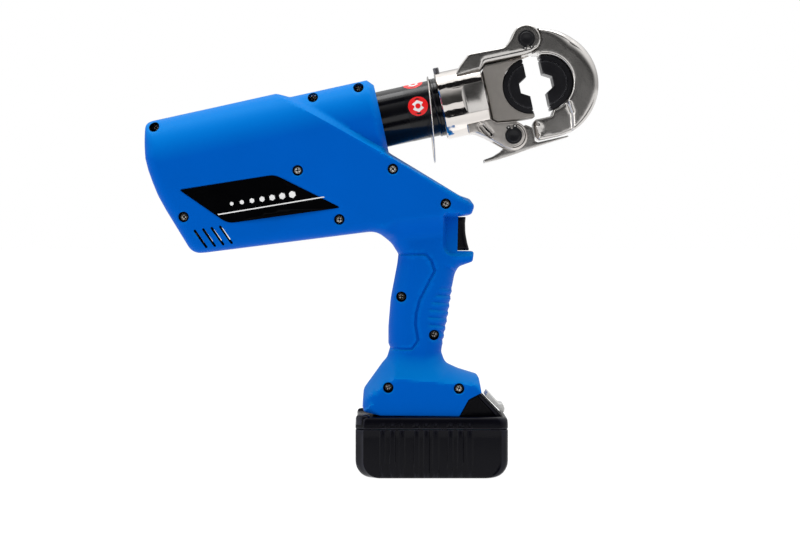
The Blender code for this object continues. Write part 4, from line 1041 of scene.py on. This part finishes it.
def pin(name, u, w, lugs, nodes):
    """A black pin with a dished end, held by an E-shaped spring clip."""
    profile = [(0, -20.2), (1.6, -20.4), (3.9, -21.0), (4.7, -20.9), (5.0, -20.5), (5.0, -19.9),
               (4.2, -19.9), (4.2, -18.3), (5.0, -18.3), (5.0, 19.2), (4.6, 19.5), (0, 19.5)]
    lathe(name, profile, CLIP, "head", (nodes[0],), axis="y", at=(u, 0, w), steps=48)
    ring = around(u, w, 6.4, lugs + np.radians(np.linspace(34, 326, 30)), (0, 0.25, 0.25))
    inner = around(u, w, 4.35, lugs + np.radians(np.linspace(334, 26, 30)), (0, 0.25, 0.25))

    def spot(r, a, soft_r):
        t = lugs + math.radians(a)
        return u + r * math.cos(t), w + r * math.sin(t), soft_r, 0.25, 0.25

    knots = ring + [spot(8.4, 328, 0.8), spot(8.6, 350, 0.8), spot(4.35, 352, 0.3)]
    knots += inner + [spot(4.35, 8, 0.3), spot(8.6, 10, 0.8), spot(8.4, 32, 0.8)]
    slab(name + "_ring", knots, 0.5, CLIP, "head", (nodes[1],), step=0.8, spacing=1.2,
         centre=-19.1)
    for k in (-20, 20):
        a, b, *_ = spot(7.2, k, 0)
        lathe(f"{name}_eye_{k + 20}", rod(0.62, -19.5, -19.66), NICKEL, "head", axis="y",
              at=(a, 0, b), steps=20)


pin("hinge_pin", HINGE_U, HINGE_W, math.radians(-90), ("jaw_pin", "jaw_pin_clip"))
pin("catch_pin", LATCH_U, LATCH_W, math.radians(90), ("latch_pin", "latch_pin_clip"))

LEVER = [(69, -49.1, 0.4, 0.5, 0.5), (69.3, -46.7, 0.4, 0.5, 0.5), (76, -45.8, 3, 0.5, 0.5),
         (82, -43.6, 3, 0.8, 0.8)]
LEVER += [(*p[:2], 0, 0.8, 0.8) for p in arc(LATCH_U, LATCH_W, 8.8, 222, 30, 16)]
LEVER += [(105.6, -27.4, 2, 1.6, 1.6), (110.2, -30.5, 1, 1.2, 1.2), (110.2, -41.2, 0.5, 0.8, 0.8),
          (112, -42.5, 1, 0.5, 0.5), (135.4, -42.4, 0.2, 0.3, 0.3), (135.6, -43.4, 0.2, 0.3, 0.3),
          (120, -44.7, 8, 0.5, 0.5), (105, -46, 10, 0.8, 0.8), (95, -47.4, 10, 0.8, 0.8),
          (80, -48.8, 8, 0.6, 0.6)]
lever = slab("latch_hook", LEVER, 8, GROUND, None, step=1.2, spacing=2.0)
bore = pin_bore(LATCH_U, LATCH_W)
groove = lathe_draft("spring_room", rod(8.9, 5.2, 12), axis="y", at=(LATCH_U, 0, LATCH_W))
boolean(lever, [bore, groove])
settle(lever, 32, "latch", "latch_lever")

# ---- trigger ----
TRIGGER = [(9.5, 171.2, 0, 0.3, 0.3), (14, 170.9, 2, 0.5, 0.5), (17.0, 169.95, 1, 0.8, 0.8),
           (28.8, 169.95, 0.9, 2.2, 2.6), (27.2, 176, 12, 3.2, 3.6), (25.9, 183, 20, 3.2, 3.6),
           (25.7, 190, 12, 3.2, 3.6), (26.1, 195.3, 0.8, 2.2, 2.6), (9.5, 195.2, 0, 0.3, 0.3)]
slab("trigger_button", TRIGGER, 9, BLACK, "trigger", ("trigger",), WORLD, step=1.0, spacing=1.6)


# ---- battery ----
HALF_L, HALF_W = 57.0, 37.0
FLUTES = [-36.5, -29.4, -22.3, -11.3, -4.2, 2.9, 14.0, 21.1, 28.2]


def far_side_of(points):
    return [(x, -y) for x, y in points[::-1]]


def plan(inset_x, inset_y, flute=0.0, corner=6.4, notch=0.0):
    """The case's plan: chamfered corners, with upright ribs along both long sides."""
    a, b = HALF_L - inset_x, HALF_W - inset_y
    xs = np.linspace(-a + corner, a - corner, 125)
    side = []
    for x in xs:
        rib = max(float(ease(np.array((2.6 - abs(x - f)) / 0.9))) for f in FLUTES)
        dent = max(float(ease(np.array((2.0 - abs(x - f)) / 0.5))) for f in FLUTES)
        side.append(b - flute * (1 - rib) - notch * dent)
    near = [(x, -y) for x, y in zip(xs, side)]
    front = [(a - corner * (1 - math.sin(t)), -b + corner * (1 - math.cos(t)))
             for t in np.radians((15, 30, 45, 60, 75))] + [(a, -b + corner)]
    across = np.linspace(-b + corner + 4, b - corner - 4, 9)
    back = [(-a, -b + corner * 1.1), (-a + corner * 0.06, -b + corner * 0.9),
            (-a + corner * 0.5, -b + corner * 0.5), (-a + corner * 0.9, -b + corner * 0.06)]
    return (near + front + [(a, y) for y in across] + far_side_of(front) + far_side_of(near)
            + far_side_of(back) + [(-a, y) for y in across[::-1]] + back)


def loft(name, levels):
    """Rings of equal length stacked and capped, still loose."""
    bm = bmesh.new()
    rings = [[bm.verts.new((x, y, z)) for x, y in outline] for outline, z in levels]
    for low, high in zip(rings, rings[1:]):
        band(bm, low, high)
    bm.faces.new(rings[0][::-1])
    bm.faces.new(rings[-1])
    return finish_piece(name, bm, BLACK, None, sharp=30)


def round_in(radius, z):
    return radius - math.sqrt(max(radius ** 2 - (radius - min(z, radius)) ** 2, 0))


levels = []
for z in (0.05, 0.3, 0.9, 1.8, 3.0, 4.4, 6.2, 8.2, 10.4, 13.0, 18, 24, 30, 35.4):
    levels.append((plan(round_in(13, z), round_in(3.2, z), 0.8 * min(1, z / 3)), z))
levels += [(plan(0.1, 0.1, 0.5), 35.9), (plan(0.5, 0.5, 0.2), 36.3), (plan(3, 3), 36.35)]
lower = loft("battery_tub", levels)
box = [(-48, 2.5), (48, 2.5), (48, 9), (53, 9), (53, 60), (-53, 60), (-53, 9), (-48, 9)]
boolean(lower, [prism_draft("bay", box, -33.4, 33.4, WORLD, BLACK)])
settle(lower, 30, "battery", "battery_case_lower")

levels = [(plan(0.6, 0.6), 36.7), (plan(0.15, 0.15), 37.1), (plan(0, 0), 37.7),
          (plan(0, 0, 0, 6.4, 0.6), 38.0), (plan(0, 0, 0, 6.4, 0.6), 39.2), (plan(0, 0), 39.5),
          (plan(0.1, 0.1), 41.5), (plan(0.3, 0.3), 43.2), (plan(0.7, 0.6), 44.3),
          (plan(1.4, 1.2), 45.1), (plan(2.4, 2.0), 45.5)]
upper = loft("battery_lid", levels)
boolean(upper, [prism_draft("bay", oblong(-53, 30, 53, 42.9), -33.4, 33.4, WORLD, BLACK)])
WEDGE = [(21.2, 45.0, 0, 0.4, 0.4), (27.7, 57.6, 4, 0.5, 0.5), (36.9, 62.6, 1, 1.2, 1.2),
         (53.7, 45.0, 0.5, 1.2, 1.2)]


def wedge_shape(x, z, top):
    """The side steps in behind the sloping front rim."""
    depth = (54.2 - x) * 0.735 + (45 - z) * 0.678
    return top - 1.8 * ease((depth - 3.4) / 0.9)


slope = [(37.6, 63.0), (54.2, 45.0)]
marks = []
for k in (3.3, 3.7, 4.2, 4.7):
    marks.append(along_line([(x - k * 0.735, z - k * 0.678) for x, z in slope], 1.0, 0))
wedge = slab("battery_wedge", WEDGE, 23, BLACK, None, (), WORLD, step=1.2, spacing=2.2,
             shape=wedge_shape, features=marks)
pieces = [wedge, prism_draft("stem", oblong(-44, 44.9, 24, 50.5), -14, 14, WORLD, BLACK),
          prism_draft("head", oblong(-44, 50.1, 23.6, 52.6), -18, 18, WORLD, BLACK)]
for y in (-30.5, 30.5):
    top = [(0, 40), (5.2, 40), (5.2, 45.6), (5.0, 46.3), (4.4, 46.9), (3.4, 47.3), (0, 47.4)]
    post = lathe_draft(f"post{y}", top, WORLD, "w", (-51.6, y, 0), 32, BLACK)
    flank = prism_draft("flank", oblong(-60, -32.4, -40, 32.4), 45.2, 50, WORLD, BLACK, "w")
    pieces.append(boolean(post, [flank]))
boolean(upper, pieces, "UNION")
down = math.atan2(63.0 - 45, 54.2 - 37.6)
lean = Matrix.Translation((37.6 * MM, 0, 63.0 * MM)) @ Matrix.Rotation(down, 4, "Y")
bay = [(1.6, -4.4), (18.8, -4.4), (18.8, -2.6), (23.7, -2.6), (23.7, 6), (1.6, 6)]
cuts = [prism_draft("button_bay", bay, -15.4, 15.4, lean, BLACK),
        lathe_draft("spring_bay", rod(3.4, -8, -3), lean, "w", (10.5, 0, 0), 24, BLACK)]
for y in (-9, 9):
    cuts.append(prism_draft(f"blade_slot{y}", oblong(-70, 42, 3, 60), y - 1.2, y + 1.2, WORLD,
                            BLACK))
boolean(upper, cuts)
settle(upper, 30, "battery", "battery_case_upper")

BUTTON = [(40.3, 60.6, 0.4, 0.5, 0.5), (42.3, 63.8, 0.8, 0.8, 0.8), (50.9, 54.4, 1.5, 0.8, 0.8),
          (54.2, 54.0, 1.2, 0.8, 0.8), (55.4, 50.4, 1.0, 0.8, 0.8), (54.9, 48.0, 0.6, 0.6, 0.6),
          (52.4, 48.6, 0.6, 0.5, 0.5)]
slab("release_button", BUTTON, 15, SILVER, "battery_button", ("battery_button",), WORLD,
     step=0.9, spacing=1.8)

# ---- pieces kept from the CAD ----
KEPT = {node: mat for mat, names in (
    (STEEL, "motor_can sun_pinion planet_1 planet_2 planet_3 ring_gear planet_carrier "
            "eccentric_bearing pump_plunger return_spring plunger_spring latch_spring "
            "trigger_spring button_spring"),
    (BLACK, "motor_end_cap motor_fan switch_body terminal_block"),
    (COPPER, "motor_rotor"), (ALUMINIUM, "pump_body"), (BRASS, "relief_valve"),
    (RUBBER, "oil_bladder ram_seal"), (NICKEL, "ram"), (BOARD, "control_board"),
    (WRAP, "cell_pack")) for node in names.split()}
for node, obj in frame["nodes"].items():
    if obj.hide_render:
        continue
    for i in range(max(1, len(obj.material_slots))):
        if not obj.material_slots:
            obj.data.materials.append(KEPT[node])
        obj.material_slots[i].link = "OBJECT"
        obj.material_slots[i].material = KEPT[node]

# ---- stage, light, camera ----


def plane(name, centre, size, lean, mat):
    """A flat stage sheet, leaning about X by an angle in degrees."""
    bm = bmesh.new()
    bmesh.ops.create_grid(bm, x_segments=2, y_segments=2, size=0.5)
    mesh = bpy.data.meshes.new(name)
    bm.to_mesh(mesh)
    bm.free()
    mesh.materials.append(mat)
    obj = bpy.data.objects.new(name, mesh)
    obj.location = centre
    obj.scale = (*size, 1)
    obj.rotation_euler = (math.radians(lean), 0, 0)
    bpy.context.scene.collection.objects.link(obj)
    return obj


floor_level = cad_box[0].z - 0.0002


def floor_finish():
    """A lit white table top: mostly light of its own, a little shade and a faint mirror."""
    mat, nodes, links = new_material("floor_white")
    nodes.remove(nodes["Principled BSDF"])
    glow = nodes.new("ShaderNodeEmission")
    glow.inputs["Color"].default_value = (1, 1, 1, 1)
    glow.inputs["Strength"].default_value = 1.2
    matt = nodes.new("ShaderNodeBsdfDiffuse")
    matt.inputs["Color"].default_value = (0.9, 0.9, 0.91, 1)
    mirror = nodes.new("ShaderNodeBsdfGlossy")
    mirror.inputs["Roughness"].default_value = 0.12
    first = nodes.new("ShaderNodeMixShader")
    first.inputs["Fac"].default_value = 0.12
    second = nodes.new("ShaderNodeMixShader")
    second.inputs["Fac"].default_value = 0.10
    links.new(glow.outputs["Emission"], first.inputs[1])
    links.new(matt.outputs["BSDF"], first.inputs[2])
    links.new(first.outputs["Shader"], second.inputs[1])
    links.new(mirror.outputs["BSDF"], second.inputs[2])
    links.new(second.outputs["Shader"], nodes["Material Output"].inputs["Surface"])
    return mat


plane("floor", (0, 0, floor_level), (80, 80), 0, floor_finish())


def card(name, centre, size, lean):
    """A black card seen only in reflections, as a studio sets up for polished metal."""
    mat, nodes, _ = new_material(name)
    shader = nodes["Principled BSDF"]
    shader.inputs["Base Color"].default_value = (0.004, 0.004, 0.005, 1)
    shader.inputs["Roughness"].default_value = 0.9
    shader.inputs["Specular IOR Level"].default_value = 0.0
    obj = plane(name, centre, size, lean, mat)
    obj.visible_camera = False
    obj.visible_diffuse = False
    obj.visible_shadow = False
    obj.visible_transmission = False


card("card_high", (0, -1.0, 2.0), (3.0, 1.3), 152)
card("card_low", (0, -0.52, floor_level + 0.004), (3.0, 0.42), 0)

world = bpy.data.worlds.new("studio")
bpy.context.scene.world = world
world.use_nodes = True
nodes, links = world.node_tree.nodes, world.node_tree.links

# A white room, bright above, with a dim opening on the front side.
direction = nodes.new("ShaderNodeTexCoord")
split = nodes.new("ShaderNodeSeparateXYZ")
links.new(direction.outputs["Generated"], split.inputs["Vector"])
opening, height, far_side = [
    ranged(nodes, links, split.outputs[way], *spans, "SMOOTHSTEP")
    for way, *spans in (("Y", -0.97, -0.35, 0.07, 0.95), ("Z", 0.0, 0.9, 0.62, 1.45),
                        ("Y", 0.6, 0.95, 1.0, 0.65))]
total = opening
for factor in (height, far_side):
    product = nodes.new("ShaderNodeMath")
    product.operation = "MULTIPLY"
    links.new(total, product.inputs[0])
    links.new(factor, product.inputs[1])
    total = product.outputs["Value"]
background = nodes["Background"]
background.inputs["Color"].default_value = (1, 1, 1, 1)
links.new(total, background.inputs["Strength"])
seen = nodes.new("ShaderNodeBackground")
seen.inputs["Color"].default_value = (1, 1, 1, 1)
seen.inputs["Strength"].default_value = 1.0
path = nodes.new("ShaderNodeLightPath")
mix = nodes.new("ShaderNodeMixShader")
links.new(path.outputs["Is Camera Ray"], mix.inputs["Fac"])
links.new(background.outputs["Background"], mix.inputs[1])
links.new(seen.outputs["Background"], mix.inputs[2])
links.new(mix.outputs["Shader"], nodes["World Output"].inputs["Surface"])


def softbox(name, at, aim, size, power):
    data = bpy.data.lights.new(name, "AREA")
    data.shape = "RECTANGLE"
    data.size, data.size_y = size
    data.energy = power
    obj = bpy.data.objects.new(name, data)
    obj.location = at
    obj.rotation_euler = (Vector(aim) - Vector(at)).to_track_quat("-Z", "Y").to_euler()
    bpy.context.scene.collection.objects.link(obj)
    return obj


softbox("top_box", (0, 0.15, 1.5), (0, 0, 0.2), (1.6, 0.5), 10)
softbox("left_strip", (-1.3, -0.75, 0.35), (0, 0, 0.1), (0.12, 1.3), 3)
fill = softbox("front_fill", (-0.2, -2.3, 0.5), (0, 0, 0.15), (2.0, 0.8), 7)
fill.visible_glossy = False

camera_data = bpy.data.cameras.new("camera")
camera_data.lens = 96.0
camera_data.sensor_width = 36.0
camera_data.clip_start = 0.05
camera_data.clip_end = 60
camera = bpy.data.objects.new("camera", camera_data)
camera.location = (-0.0237, -1.623, 0.1766)
camera.rotation_euler = (math.radians(90 - 0.67), 0, 0)
bpy.context.scene.collection.objects.link(camera)
bpy.context.scene.camera = camera
bpy.context.scene.view_settings.view_transform = "Standard"
bpy.context.scene.view_settings.look = "None"
